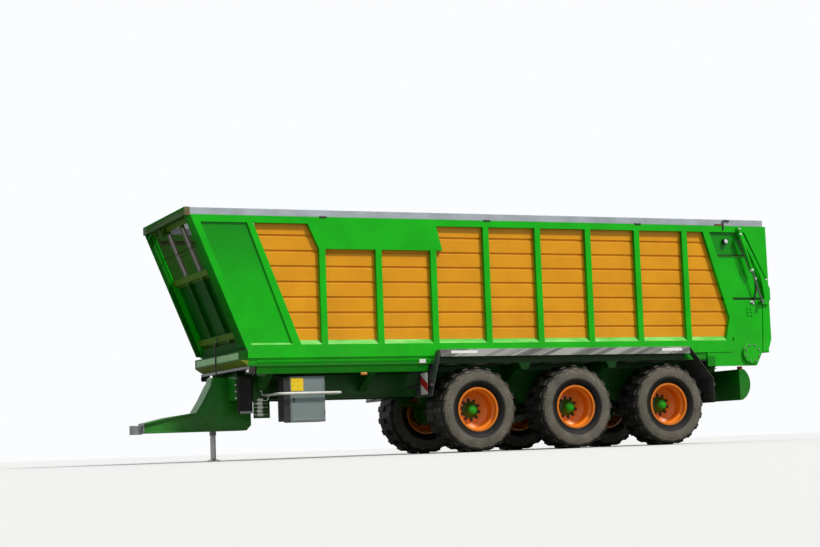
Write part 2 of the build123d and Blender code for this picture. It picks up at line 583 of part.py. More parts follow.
# Jack: a tube held beside the drawbar, and the leg that slides in it
JACK_CAP = 12
JACK_LEG_HIDDEN = 460
JACK_LEG_TOP_Z = JACK_TUBE_BOTTOM_Z + JACK_LEG_HIDDEN
BRACKET_HEIGHT = 40
with BuildPart() as jack_tube:
    with BuildSketch(Plane.XY.offset(JACK_TUBE_BOTTOM_Z)):
        with Locations((JACK_X, JACK_Y)):
            Circle(JACK_TUBE_RADIUS)
            Circle(JACK_LEG_RADIUS + RUNNING_GAP, mode=Mode.SUBTRACT)
    extrude(amount=JACK_TUBE_TOP_Z - JACK_TUBE_BOTTOM_Z)
    with BuildSketch(Plane.XY.offset(JACK_TUBE_TOP_Z)):
        with Locations((JACK_X, JACK_Y)):
            Circle(JACK_TUBE_RADIUS)
    extrude(amount=JACK_CAP)
    bracket_reach = -JACK_Y - JACK_TUBE_RADIUS + 5 - DRAWBAR_HALF_WIDTH
    for z in (DRAWBAR_BOTTOM_Z + 80, RAIL_BOTTOM_Z - 70):
        with BuildSketch(Plane.XY.offset(z)):
            with Locations((JACK_X, -DRAWBAR_HALF_WIDTH - bracket_reach / 2)):
                Rectangle(90, bracket_reach)
        extrude(amount=BRACKET_HEIGHT)
jack_tube.part.label = "jack_tube"
export_step(jack_tube.part, "parts/jack_tube.step")

with BuildPart() as jack_leg:
    with BuildSketch(Plane.XZ.offset(-JACK_Y)):
        with BuildLine():
            Polyline((JACK_X, 0), (JACK_X + JACK_FOOT_RADIUS, 0), (JACK_X + JACK_FOOT_RADIUS, 14),
                     (JACK_X + JACK_FOOT_RADIUS / 2, 40), (JACK_X + JACK_LEG_RADIUS, 46),
                     (JACK_X + JACK_LEG_RADIUS, JACK_LEG_TOP_Z), (JACK_X, JACK_LEG_TOP_Z), close=True)
        make_face()
    revolve(axis=Axis((JACK_X, JACK_Y, 0), (0, 0, 1)))
jack_leg.part.label = "jack_leg"
export_step(jack_leg.part, "parts/jack_leg.step")

# Side frames: sill, top rail, ribs, front panel with its post, and the rear side plates
SEAM_GAP = 8
FRONT_RIB_WIDTH = 102
FRONT_PANEL_TOP = 863
FRONT_PANEL_FOOT = 785
REAR_RIB_TOP_INSET = 1190
REAR_RIB_KNEE_INSET = 650
REAR_RIB_KNEE_DROP = 1510
FOLD_HIGH_DROP = 420
FOLD_LOW_DROP = 1190
GUSSET_INSET = 455
GUSSET_DROP = 821
SKIRT_REAR_X = FENDER_FRONT_X + 120
SKIRT_FRONT_X = SILL_FRONT_X - 155
under_rail = TOP_RAIL_BOTTOM_Z + 1
fold_high = TOP_RAIL_BOTTOM_Z - FOLD_HIGH_DROP
fold_low = TOP_RAIL_BOTTOM_Z - FOLD_LOW_DROP
knee_z = TOP_RAIL_BOTTOM_Z - REAR_RIB_KNEE_DROP
with BuildPart() as side_frames:
    with BuildSketch(Plane.YZ.offset(SILL_REAR_X)):
        with BuildLine():
            Polyline((WALL_INNER_Y, SILL_BOTTOM_Z), (BODY_HALF_WIDTH - SILL_SET_BACK, SILL_BOTTOM_Z),
                     (BODY_HALF_WIDTH - SILL_SET_BACK, SILL_FACE_Z), (BODY_HALF_WIDTH, SILL_FACE_Z),
                     (BODY_HALF_WIDTH, SILL_TOP_Z), (SHEET_Y, SILL_CHAMFER_Z),
                     (WALL_INNER_Y, SILL_CHAMFER_Z), close=True)
        make_face()
    extrude(amount=SILL_FRONT_X - SILL_REAR_X)
    with BuildSketch(side_plane(BODY_HALF_WIDTH)):
        with BuildLine():
            Polyline((REAR_X, TOP_RAIL_BOTTOM_Z), (head_x(TOP_RAIL_BOTTOM_Z), TOP_RAIL_BOTTOM_Z),
                     (head_x(TOP_RAIL_TOP_Z) - 20, TOP_RAIL_TOP_Z), (REAR_X, TOP_RAIL_TOP_Z), close=True)
        make_face()
    extrude(amount=WALL_THICK)
    with Locations((REAR_X + GUSSET_INSET, (WALL_INNER_Y + SHEET_Y) / 2, TOP_RAIL_TOP_Z - TOP_RAIL_HEIGHT / 2)):
        Box(2 * (GUSSET_INSET + 195), SHEET_Y - WALL_INNER_Y, TOP_RAIL_HEIGHT, mode=Mode.SUBTRACT)
    # Upright ribs, the bare plate over the first three, and the slanted ribs at both ends
    plate_foot_z = TOP_RAIL_BOTTOM_Z - NAME_PLATE_HEIGHT
    plate_rear_x = RIB_FIRST_X - (SHORT_RIBS - 1) * RIB_PITCH - RIB_WIDTH
    with BuildSketch(side_plane(BODY_HALF_WIDTH)):
        for index in range(RIB_COUNT):
            rib_top = plate_foot_z + 1 if index < SHORT_RIBS else under_rail
            with Locations((RIB_FIRST_X - index * RIB_PITCH, (SILL_TOP_Z - 20 + rib_top) / 2)):
                Rectangle(RIB_WIDTH, rib_top - SILL_TOP_Z + 20)
        with BuildLine():
            Polyline((RIB_FIRST_X + 237, under_rail), (RIB_FIRST_X + RIB_WIDTH / 2, plate_foot_z),
                     (plate_rear_x - 61, plate_foot_z), (plate_rear_x + 39, under_rail), close=True)
        make_face()
        with BuildLine():
            Polyline((head_x(TOP_RAIL_BOTTOM_Z) - FRONT_PANEL_TOP - FRONT_RIB_WIDTH, under_rail),
                     (head_x(TOP_RAIL_BOTTOM_Z) - FRONT_PANEL_TOP, under_rail),
                     (head_x(SILL_TOP_Z) - FRONT_PANEL_FOOT, SILL_TOP_Z - 1),
                     (head_x(SILL_TOP_Z) - FRONT_PANEL_FOOT - FRONT_RIB_WIDTH - 40, SILL_TOP_Z - 1), close=True)
        make_face()
        with BuildLine():
            Polyline((REAR_X + REAR_RIB_TOP_INSET + 130, under_rail), (REAR_X + REAR_RIB_TOP_INSET, under_rail),
                     (REAR_X + REAR_RIB_KNEE_INSET, knee_z), (SILL_REAR_X, SILL_TOP_Z),
                     (SILL_REAR_X + 120, SILL_TOP_Z), (REAR_X + REAR_RIB_KNEE_INSET + 207, knee_z), close=True)
        make_face()
    extrude(amount=BODY_HALF_WIDTH - SHEET_Y)
    # Leaning post at the headboard, and the smooth panel between it and the slanted rib
    with BuildSketch(side_plane(BODY_HALF_WIDTH)):
        with BuildLine():
            Polyline((head_x(SILL_TOP_Z - 60), SILL_TOP_Z - 60), (head_x(TOP_RAIL_TOP_Z), TOP_RAIL_TOP_Z),
                     (head_x(TOP_RAIL_TOP_Z) - POST_WIDTH, TOP_RAIL_TOP_Z),
                     (head_x(SILL_TOP_Z - 60) - POST_WIDTH, SILL_TOP_Z - 60), close=True)
        make_face()
    extrude(amount=WALL_THICK)
    with BuildSketch(side_plane(PANEL_Y)):
        with BuildLine():
            Polyline((head_x(SILL_TOP_Z) - 20, SILL_TOP_Z), (head_x(TOP_RAIL_BOTTOM_Z) - 20, under_rail),
                     (head_x(TOP_RAIL_BOTTOM_Z) - FRONT_PANEL_TOP - FRONT_RIB_WIDTH / 2, under_rail),
                     (head_x(SILL_TOP_Z) - FRONT_PANEL_FOOT - FRONT_RIB_WIDTH / 2, SILL_TOP_Z), close=True)
        make_face()
    extrude(amount=PANEL_Y - PANEL_INNER_Y)
    # Rear side plate in three fields that stand proud of one another
    with BuildSketch(side_plane(REAR_PLATE_Y)):
        with BuildLine():
            Polyline((REAR_X + REAR_RIB_TOP_INSET + 60, under_rail), (REAR_X + 50, under_rail),
                     (REAR_X + 50, TOP_RAIL_BOTTOM_Z - GUSSET_DROP + 31),
                     (REAR_X + 90 + SEAM_GAP, TOP_RAIL_BOTTOM_Z - GUSSET_DROP),
                     (seam_x(TOP_RAIL_BOTTOM_Z - 1020) + SEAM_GAP, TOP_RAIL_BOTTOM_Z - 1020),
                     (seam_x(fold_low) + SEAM_GAP, fold_low), (REAR_X + 800, fold_low),
                     (REAR_X + 800, fold_low - 250), close=True)
        make_face()
    extrude(amount=REAR_PLATE_Y - PANEL_INNER_Y)
    with BuildSketch(side_plane(BODY_HALF_WIDTH)):
        with BuildLine():
            Polyline((REAR_X + GUSSET_INSET, under_rail), (REAR_X, under_rail),
                     (REAR_X, TOP_RAIL_BOTTOM_Z - GUSSET_DROP), (REAR_X + 43, TOP_RAIL_BOTTOM_Z - GUSSET_DROP),
                     close=True)
        make_face()
    extrude(amount=BODY_HALF_WIDTH - PANEL_INNER_Y)
    with BuildSketch(side_plane(PANEL_Y)):
        with BuildLine():
            Polyline((REAR_X + 1090, fold_high), (REAR_X + 320, fold_high),
                     (seam_x(fold_low) + SEAM_GAP + 5, fold_low), (REAR_X + 790, fold_low), close=True)
        make_face()
    extrude(amount=PANEL_Y - PANEL_INNER_Y)
    with BuildSketch(side_plane(REAR_LOW_Y)):
        with BuildLine():
            Polyline((REAR_X + 790, fold_low - 10), (seam_x(fold_low) + SEAM_GAP, fold_low - 10),
                     (seam_x(SILL_TOP_Z - 205) + SEAM_GAP, SILL_TOP_Z - 205),
                     (REAR_X + 334, RAIL_TOP_Z), (SILL_REAR_X + 520, RAIL_TOP_Z),
                     (SILL_REAR_X + 520, SILL_TOP_Z - 10), (REAR_X + 790, SILL_TOP_Z - 10), close=True)
        make_face()
    extrude(amount=REAR_LOW_Y - PANEL_INNER_Y)
    # Skirt under the sill, ahead of the wheels
    with BuildSketch(Plane.YZ.offset(SKIRT_REAR_X)):
        with BuildLine():
            Polyline((BODY_HALF_WIDTH - 45, SILL_FACE_Z), (BODY_HALF_WIDTH - 15, SILL_FACE_Z),
                     (BODY_HALF_WIDTH - 28, SILL_FACE_Z - 65), (BODY_HALF_WIDTH - 85, RAIL_TOP_Z),
                     (BODY_HALF_WIDTH - 95, RAIL_TOP_Z), (BODY_HALF_WIDTH - 45, SILL_FACE_Z - 83), close=True)
        make_face()
    extrude(amount=SKIRT_FRONT_X - SKIRT_REAR_X)
    # Pins that carry the tailgate's arm and cylinder
    with BuildSketch(side_plane(GATE_ARM_Y + GATE_ARM_THICK + 8)):
        with Locations((GATE_PIVOT_X, GATE_PIVOT_Z)):
            Circle(GATE_PIN_RADIUS)
    extrude(amount=GATE_ARM_THICK + 16)
    with BuildSketch(side_plane(BARREL_Y + 30)):
        with Locations((BARREL_PIN_X, BARREL_PIN_Z)):
            Circle(BARREL_PIN_RADIUS)
    extrude(amount=BARREL_Y + 30 - REAR_PLATE_Y + 5)
    mirror(about=Plane.XZ)
side_frames.part.label = "side_frames"
export_step(side_frames.part, "parts/side_frames.step")

# Corrugated steel sheets between the sill and the top rail
with BuildPart() as side_sheets:
    with BuildSketch(Plane.YZ.offset(SILL_REAR_X + 20)):
        outer = [(SHEET_Y, SILL_CHAMFER_Z)]
        for index in reversed(range(GROOVE_COUNT)):
            z = TOP_RAIL_BOTTOM_Z - GROOVE_DROP - index * GROOVE_PITCH
            outer += [(SHEET_Y, z - GROOVE_WIDTH / 2), (SHEET_Y - GROOVE_DEPTH, z - GROOVE_WIDTH / 4),
                      (SHEET_Y - GROOVE_DEPTH, z + GROOVE_WIDTH / 4), (SHEET_Y, z + GROOVE_WIDTH / 2)]
        outer += [(SHEET_Y, TOP_RAIL_BOTTOM_Z)]
        inner = [(y - SHEET_WALL, z) for y, z in reversed(outer)]
        with BuildLine():
            Polyline(*outer, *inner, close=True)
        make_face()
    extrude(amount=SILL_FRONT_X - 180 - SILL_REAR_X - 20)
    mirror(about=Plane.XZ)
side_sheets.part.label = "side_sheets"
export_step(side_sheets.part, "parts/side_sheets.step")

# Aluminium top boards on the rails
with BuildPart() as top_boards:
    with BuildSketch(Plane.YZ.offset(REAR_X + BOARD_REAR_INSET)):
        with Locations((SHEET_Y + BOARD_THICK / 2, (TOP_RAIL_TOP_Z + BOARD_TOP_Z) / 2)):
            RectangleRounded(BOARD_THICK, BOARD_HEIGHT, 8)
    extrude(amount=head_x(TOP_RAIL_TOP_Z) + BOARD_OVERHANG - REAR_X - BOARD_REAR_INSET)
    mirror(about=Plane.XZ)
top_boards.part.label = "top_boards"
export_step(top_boards.part, "parts/top_boards.step")

# Headboard: a leaning frame of beams and tubes, closed by sheet below the grille
HEAD_TOP_DROP = 40
HEAD_LOW_BEAM = 180
HEAD_MID_SHARE = 0.58
APRON_DEPTH = 120
APRON_DROP = 90
head_angle = math.atan2(HEAD_LEAN, TOP_RAIL_TOP_Z - SILL_TOP_Z)
head_depth = POST_WIDTH * math.cos(head_angle)
head_length = math.hypot(HEAD_LEAN, TOP_RAIL_TOP_Z - SILL_TOP_Z)
head_mid = head_length * HEAD_MID_SHARE
head_top = head_length - HEAD_TOP_DROP
HEAD_PLANE = Plane(origin=(head_x(SILL_TOP_Z), 0, SILL_TOP_Z), x_dir=(0, 1, 0),
                   z_dir=(math.cos(head_angle), 0, -math.sin(head_angle)))
with BuildPart() as headboard:
    with BuildSketch(HEAD_PLANE.offset(-head_depth)):
        with Locations((0, head_mid / 2)):
            Rectangle(2 * WALL_INNER_Y, head_mid)
    extrude(amount=HEAD_SHEET)
    with BuildSketch(HEAD_PLANE.offset(-head_depth)):
        for along in (HEAD_LOW_BEAM, head_mid, head_top):
            with Locations((0, along)):
                Rectangle(2 * WALL_INNER_Y, HEAD_BEAM)
        for side in (-1, 1):
            with Locations((side * HEAD_TUBE_Y, head_top / 2)):
                Rectangle(HEAD_TUBE_WIDTH, head_top)
    extrude(amount=HEAD_BEAM_DEPTH)
    # Foot between the sills, and the apron plate before their ends
    with BuildSketch(side_plane(WALL_INNER_Y)):
        with BuildLine():
            Polyline((SILL_FRONT_X - 70, SILL_BOTTOM_Z), (SILL_FRONT_X, SILL_BOTTOM_Z),
                     (SILL_FRONT_X, SILL_TOP_Z - APRON_DROP), (head_x(SILL_CHAMFER_Z) - 20, SILL_CHAMFER_Z),
                     (SILL_FRONT_X - 70, SILL_CHAMFER_Z), close=True)
        make_face()
    extrude(amount=2 * WALL_INNER_Y)
    with BuildSketch(side_plane(BODY_HALF_WIDTH)):
        with BuildLine():
            Polyline((SILL_FRONT_X, SILL_BOTTOM_Z + 10), (SILL_FRONT_X + APRON_DEPTH, SILL_BOTTOM_Z + APRON_DROP),
                     (SILL_FRONT_X + APRON_DEPTH, SILL_TOP_Z - APRON_DROP),
                     (SILL_FRONT_X, SILL_TOP_Z - APRON_DROP), close=True)
        make_face()
    extrude(amount=2 * BODY_HALF_WIDTH)
headboard.part.label = "headboard"
export_step(headboard.part, "parts/headboard.step")

# Viewing grille in the upper third of the headboard: upright flat bars on a cross bar
with BuildPart() as headboard_grille:
    grille_low = head_mid + HEAD_BEAM / 2
    grille_high = head_top - HEAD_BEAM / 2
    half_tube = HEAD_TUBE_WIDTH / 2
    fields = ((-WALL_INNER_Y, -HEAD_TUBE_Y - half_tube), (half_tube - HEAD_TUBE_Y, HEAD_TUBE_Y - half_tube),
              (HEAD_TUBE_Y + half_tube, WALL_INNER_Y))
    with BuildSketch(HEAD_PLANE.offset(-head_depth + HEAD_BEAM_DEPTH / 2)):
        for low, high in fields:
            with Locations(((low + high) / 2, (grille_low + grille_high) / 2)):
                Rectangle(high - low, BAR_WIDTH)
                with GridLocations(BAR_PITCH, 0, int((high - low) / BAR_PITCH), 1):
                    Rectangle(BAR_WIDTH, grille_high - grille_low)
    extrude(amount=BAR_WIDTH)
headboard_grille.part.label = "headboard_grille"
export_step(headboard_grille.part, "parts/headboard_grille.step")

# Floor: steel plate on cross beams between the sills
with BuildPart() as body_floor:
    with Locations(((FLOOR_FRONT_X + FLOOR_REAR_X) / 2, 0, FLOOR_TOP_Z - FLOOR_PLATE / 2)):
        Box(FLOOR_FRONT_X - FLOOR_REAR_X, 2 * WALL_INNER_Y, FLOOR_PLATE)
    for index in range(-1, RIB_COUNT + 1):
        with Locations((RIB_FIRST_X - index * RIB_PITCH, 0, FLOOR_TOP_Z - FLOOR_PLATE - FLOOR_BEAM_HEIGHT / 2)):
            Box(80, 2 * WALL_INNER_Y, FLOOR_BEAM_HEIGHT)
body_floor.part.label = "body_floor"
export_step(body_floor.part, "parts/body_floor.step")

# Scraper floor: endless chains round two shafts, with slats across them
with BuildPart() as floor_conveyor:
    for y in CHAIN_Y:
        with BuildSketch(side_plane(y + CHAIN_WIDTH / 2)):
            with Locations(((DRIVE_SHAFT_X + IDLER_SHAFT_X) / 2, SHAFT_Z)):
                SlotCenterToCenter(IDLER_SHAFT_X - DRIVE_SHAFT_X, 2 * CHAIN_RADIUS + CHAIN_HEIGHT)
                SlotCenterToCenter(IDLER_SHAFT_X - DRIVE_SHAFT_X, 2 * CHAIN_RADIUS - CHAIN_HEIGHT,
                                   mode=Mode.SUBTRACT)
        extrude(amount=CHAIN_WIDTH)
    for index in range(int((IDLER_SHAFT_X - DRIVE_SHAFT_X) / SLAT_PITCH)):
        slat_x = DRIVE_SHAFT_X + (index + 0.5) * SLAT_PITCH
        for z in (FLOOR_TOP_Z + SLAT_HEIGHT / 2, 2 * SHAFT_Z - FLOOR_TOP_Z - SLAT_HEIGHT / 2):
            with Locations((slat_x, 0, z)):
                Box(SLAT_WIDTH, 2 * (WALL_INNER_Y - SLAT_SIDE_GAP), SLAT_HEIGHT)
floor_conveyor.part.label = "floor_conveyor"
export_step(floor_conveyor.part, "parts/floor_conveyor.step")

# Drive and idler shafts with their chain wheels, and the drive's flanges outside the side plates
with BuildPart() as conveyor_drive:
    for x, shaft_half in ((DRIVE_SHAFT_X, PANEL_INNER_Y), (IDLER_SHAFT_X, WALL_INNER_Y)):
        with BuildSketch(side_plane(shaft_half)):
            with Locations((x, SHAFT_Z)):
                Circle(SHAFT_RADIUS)
        extrude(amount=2 * shaft_half)
        for y in CHAIN_Y:
            with BuildSketch(side_plane(y + CHAIN_WIDTH / 2 - 3)):
                with Locations((x, SHAFT_Z)):
                    Circle(CHAIN_RADIUS - CHAIN_HEIGHT / 2 - BEAD_GAP)
            extrude(amount=CHAIN_WIDTH - 6)
    for side in (-1, 1):
        with BuildSketch(side_plane(side * (REAR_LOW_Y + 25) + 25)):
            with Locations((DRIVE_SHAFT_X, SHAFT_Z)):
                Circle(DRIVE_FLANGE_RADIUS)
        extrude(amount=34)
        with BuildSketch(side_plane(side * (REAR_LOW_Y + 25) + 25)):
            with Locations((DRIVE_SHAFT_X, SHAFT_Z)):
                Circle(DRIVE_FLANGE_RADIUS / 2)
        extrude(amount=50)
conveyor_drive.part.label = "conveyor_drive"
export_step(conveyor_drive.part, "parts/conveyor_drive.step")

# Tailgate: panel between the side gussets, side posts and the arms it swings on
GATE_TOP_Z = TOP_RAIL_BOTTOM_Z + 10
GATE_BOTTOM_Z = SILL_BOTTOM_Z + 110
GATE_BEAMS = 4
POST_TOP_DROP = 830
BOSS_RADIUS_GATE = 30
ARM_HALF = 46
gate_panel_y = WALL_INNER_Y + GATE_PANEL_GAP
gate_skin_x = REAR_X + 3
with BuildPart() as tailgate:
    gate_middle_z = (GATE_TOP_Z + GATE_BOTTOM_Z) / 2
    with BuildSketch(side_plane(gate_panel_y)):
        with Locations((gate_skin_x + GATE_BEAM_DEPTH + GATE_PANEL / 2 - 1, gate_middle_z)):
            Rectangle(GATE_PANEL, GATE_TOP_Z - GATE_BOTTOM_Z)
    extrude(amount=2 * gate_panel_y)
    for index in range(GATE_BEAMS):
        beam_z = GATE_BOTTOM_Z + GATE_BEAM + index * (GATE_TOP_Z - GATE_BOTTOM_Z - 1.75 * GATE_BEAM) / (GATE_BEAMS - 1)
        with Locations((gate_skin_x + GATE_BEAM_DEPTH / 2, 0, beam_z)):
            Box(GATE_BEAM_DEPTH, 2 * gate_panel_y, GATE_BEAM)
    for y in (-gate_panel_y + 30, -HEAD_TUBE_Y, HEAD_TUBE_Y, gate_panel_y - 30):
        with Locations((gate_skin_x + GATE_BEAM_DEPTH / 2, y, gate_middle_z)):
            Box(GATE_BEAM_DEPTH, 60, GATE_TOP_Z - GATE_BOTTOM_Z)
    post_top = (REAR_X + 98, TOP_RAIL_BOTTOM_Z - POST_TOP_DROP - 62)
    for side in (-1, 1):
        with BuildSketch(side_plane(BODY_HALF_WIDTH if side > 0 else 10 - gate_panel_y)):
            with BuildLine():
                Polyline((gate_skin_x, TOP_RAIL_BOTTOM_Z - POST_TOP_DROP), (gate_skin_x, SILL_TOP_Z + 10),
                         (REAR_X + 51, SILL_TOP_Z - 125), (REAR_X + 155, SILL_TOP_Z - 220),
                         (REAR_X + 188, SILL_TOP_Z - 205), (seam_x(TOP_RAIL_BOTTOM_Z - 1020), TOP_RAIL_BOTTOM_Z - 1020),
                         post_top, close=True)
            make_face()
        extrude(amount=BODY_HALF_WIDTH - gate_panel_y + 10)
        outer_face = side * (GATE_ARM_Y + GATE_ARM_THICK / 2) + GATE_ARM_THICK / 2
        with BuildSketch(side_plane(outer_face)):
            with BuildLine():
                Polyline((GATE_PIVOT_X - 26, GATE_PIVOT_Z + 10), (GATE_PIVOT_X + 26, GATE_PIVOT_Z - 10),
                         (REAR_X + 188, ROD_EYE_Z + 450), (REAR_X + 150, ROD_EYE_Z + 270),
                         (REAR_X + 120, ROD_EYE_Z + 30), (gate_skin_x, ROD_EYE_Z + 30),
                         (gate_skin_x, ROD_EYE_Z + 250), (REAR_X + 120, ROD_EYE_Z + 460), close=True)
            make_face()
            with BuildLine():
                Polyline((REAR_X + 50, ROD_EYE_Z + 70), (ROD_EYE_X, ROD_EYE_Z + 34), (ROD_EYE_X, ROD_EYE_Z - 34),
                         (REAR_X + 50, ROD_EYE_Z - 50), close=True)
            make_face()
            with Locations((ROD_EYE_X, ROD_EYE_Z)):
                Circle(34)
            with Locations((GATE_PIVOT_X, GATE_PIVOT_Z)):
                Circle(ARM_HALF)
                Circle(GATE_PIN_RADIUS + RUNNING_GAP, mode=Mode.SUBTRACT)
        extrude(amount=GATE_ARM_THICK)
        pad_face = GATE_ARM_Y + 1 if side > 0 else 1 - BODY_HALF_WIDTH
        with BuildSketch(side_plane(pad_face)):
            with Locations((REAR_X + 45, ROD_EYE_Z + 130)):
                Rectangle(80, 180)
        extrude(amount=GATE_ARM_GAP + 2)
        boss_face = BARREL_Y - 35 if side > 0 else -GATE_ARM_Y - GATE_ARM_THICK + 1
        with BuildSketch(side_plane(boss_face)):
            with Locations((ROD_EYE_X, ROD_EYE_Z)):
                Circle(BOSS_RADIUS_GATE)
        extrude(amount=BARREL_GAP - 34)
tailgate.part.label = "tailgate"
export_step(tailgate.part, "parts/tailgate.step")

# Tailgate cylinders: barrel on the body's pin, rod whose eye faces the bracket on the gate
cylinder_dx = ROD_EYE_X - BARREL_PIN_X
cylinder_dz = ROD_EYE_Z - BARREL_PIN_Z
cylinder_length = math.hypot(cylinder_dx, cylinder_dz)
cylinder_dir = (cylinder_dx / cylinder_length, 0, cylinder_dz / cylinder_length)
ROD_INSIDE = 300
EYE_HALF = 22
EYE_RADIUS = 34
for side_name, side in SIDES:
    start = Vector(BARREL_PIN_X, side * BARREL_Y, BARREL_PIN_Z)
    axis_plane = Plane(origin=start, x_dir=(0, 1, 0), z_dir=cylinder_dir)
    with BuildPart() as barrel:
        with BuildSketch(axis_plane.offset(BARREL_PIN_RADIUS + 6)):
            Circle(BARREL_RADIUS)
        extrude(amount=BARREL_LENGTH - BARREL_PIN_RADIUS - 6)
        with BuildSketch(side_plane(side * BARREL_Y + EYE_HALF)):
            with Locations((BARREL_PIN_X, BARREL_PIN_Z)):
                Circle(EYE_RADIUS)
        extrude(amount=2 * EYE_HALF)
        with BuildSketch(side_plane(side * BARREL_Y + BARREL_RADIUS + 1)):
            with Locations((BARREL_PIN_X, BARREL_PIN_Z)):
                Circle(BARREL_PIN_RADIUS + RUNNING_GAP)
        extrude(amount=2 * BARREL_RADIUS + 2, mode=Mode.SUBTRACT)
        with BuildSketch(axis_plane.offset(BARREL_LENGTH)):
            Circle(ROD_RADIUS + RUNNING_GAP)
        extrude(amount=-ROD_INSIDE - 40, mode=Mode.SUBTRACT)
    barrel.part.label = f"tailgate_cylinder_{side_name}"
    export_step(barrel.part, f"parts/tailgate_cylinder_{side_name}.step")

    with BuildPart() as rod:
        with BuildSketch(axis_plane.offset(BARREL_LENGTH - ROD_INSIDE)):
            Circle(ROD_RADIUS)
        extrude(amount=cylinder_length - BARREL_LENGTH + ROD_INSIDE - 20)
        with BuildSketch(side_plane(side * BARREL_Y + EYE_RADIUS)):
            with Locations((ROD_EYE_X, ROD_EYE_Z)):
                Circle(30)
        extrude(amount=2 * EYE_RADIUS)
    rod.part.label = f"tailgate_rod_{side_name}"
    export_step(rod.part, f"parts/tailgate_rod_{side_name}.step")

# Fenders: a shelf along the sill with a lip, sloped ends over the full tyre width and their stays
FENDER_LIP_Z = FENDER_TOP_Z - FENDER_LIP
FRONT_SLOPE = 185
FRONT_SLOPE_FOOT_Z = AXLE_Z + 225
REAR_SLOPE = 442
REAR_SLOPE_KNEE_Z = AXLE_Z + 425
REAR_SLOPE_FOOT_Z = AXLE_Z + 188
STAY_Z = RAIL_BOTTOM_Z + 150
with BuildPart() as fenders:
    with BuildSketch(Plane.YZ.offset(FENDER_REAR_X)):
        with BuildLine():
            Polyline((BODY_HALF_WIDTH, FENDER_TOP_Z), (FENDER_Y, FENDER_TOP_Z), (FENDER_Y, FENDER_LIP_Z),
                     (FENDER_Y - FENDER_SHEET, FENDER_LIP_Z),
                     (FENDER_Y - FENDER_SHEET, FENDER_TOP_Z - FENDER_SHEET),
                     (BODY_HALF_WIDTH, FENDER_TOP_Z - FENDER_SHEET), close=True)
        make_face()
    extrude(amount=FENDER_FRONT_X - FENDER_REAR_X)
    front_foot_x = FENDER_FRONT_X + FRONT_SLOPE
    rear_foot_x = FENDER_REAR_X - REAR_SLOPE
    for points in (
        ((FENDER_FRONT_X, FENDER_TOP_Z), (front_foot_x, FRONT_SLOPE_FOOT_Z),
         (front_foot_x - FENDER_SHEET, FRONT_SLOPE_FOOT_Z), (FENDER_FRONT_X - FENDER_SHEET, FENDER_TOP_Z - FENDER_SHEET)),
        ((FENDER_REAR_X, FENDER_TOP_Z - FENDER_SHEET), (rear_foot_x, REAR_SLOPE_KNEE_Z - 2),
         (rear_foot_x, REAR_SLOPE_FOOT_Z), (rear_foot_x - FENDER_SHEET, REAR_SLOPE_FOOT_Z),
         (rear_foot_x - FENDER_SHEET, REAR_SLOPE_KNEE_Z), (FENDER_REAR_X, FENDER_TOP_Z)),
    ):
        with BuildSketch(side_plane(FENDER_Y)):
            with BuildLine():
                Polyline(*points, close=True)
            make_face()
        extrude(amount=FENDER_Y - FENDER_INNER_Y)
    # The slopes end under the body's floor
    with Locations(((FENDER_FRONT_X + FENDER_REAR_X) / 2, FENDER_INNER_Y + (BODY_HALF_WIDTH - FENDER_INNER_Y) / 2,
                    SILL_BOTTOM_Z - 10 + (FENDER_RISE + 20) / 2)):
        Box(AXLE_SPACING * 4, BODY_HALF_WIDTH - FENDER_INNER_Y, FENDER_RISE + 20, mode=Mode.SUBTRACT)
    front_stay_x = front_foot_x - FRONT_SLOPE * (STAY_Z - FRONT_SLOPE_FOOT_Z) / (FENDER_TOP_Z - FRONT_SLOPE_FOOT_Z)
    rear_stay_x = rear_foot_x - FENDER_SHEET
    for x in (front_stay_x + FENDER_STAY_RADIUS - 1, rear_stay_x - FENDER_STAY_RADIUS + 1):
        with BuildSketch(side_plane(FENDER_Y - 20)):
            with Locations((x, STAY_Z - (0 if x > 0 else 90))):
                Circle(FENDER_STAY_RADIUS)
        extrude(amount=FENDER_Y - 20 - RAIL_Y - RAIL_PLATE / 2)
    mirror(about=Plane.XZ)
fenders.part.label = "fenders"
export_step(fenders.part, "parts/fenders.step")

# Rubber flaps behind the rear wheels
FLAP_THICK = 8
FLAP_DROP = 210
with BuildPart() as mud_flaps:
    with BuildSketch(side_plane(FENDER_Y - 10)):
        with Locations((rear_foot_x - FENDER_SHEET - FLAP_THICK / 2, REAR_SLOPE_FOOT_Z + 30 - FLAP_DROP / 2)):
            Rectangle(FLAP_THICK, FLAP_DROP)
    extrude(amount=FENDER_Y - 20 - FENDER_INNER_Y)
    mirror(about=Plane.XZ)
mud_flaps.part.label = "mud_flaps"
export_step(mud_flaps.part, "parts/mud_flaps.step")

# Rear bumper with a bulging face
BUMPER_HALF_WIDTH = 1200
BUMPER_DEPTH = 100
BUMPER_BULGE = 120
BUMPER_TOP_DROP = 60
BUMPER_HEIGHT = 540
with BuildPart() as rear_bumper:
    bumper_top_z = RAIL_TOP_Z - BUMPER_TOP_DROP
    with BuildSketch(side_plane(BUMPER_HALF_WIDTH)):
        with BuildLine():
            Polyline((RAIL_REAR_X, bumper_top_z - BUMPER_HEIGHT), (RAIL_REAR_X, bumper_top_z),
                     (RAIL_REAR_X - BUMPER_DEPTH, bumper_top_z))
            ThreePointArc((RAIL_REAR_X - BUMPER_DEPTH, bumper_top_z),
                          (RAIL_REAR_X - BUMPER_DEPTH - BUMPER_BULGE, bumper_top_z - BUMPER_HEIGHT * 0.55),
                          (RAIL_REAR_X - 40, bumper_top_z - BUMPER_HEIGHT))
            Line((RAIL_REAR_X - 40, bumper_top_z - BUMPER_HEIGHT), (RAIL_REAR_X, bumper_top_z - BUMPER_HEIGHT))
        make_face()
    extrude(amount=2 * BUMPER_HALF_WIDTH)
rear_bumper.part.label = "rear_bumper"
export_step(rear_bumper.part, "parts/rear_bumper.step")

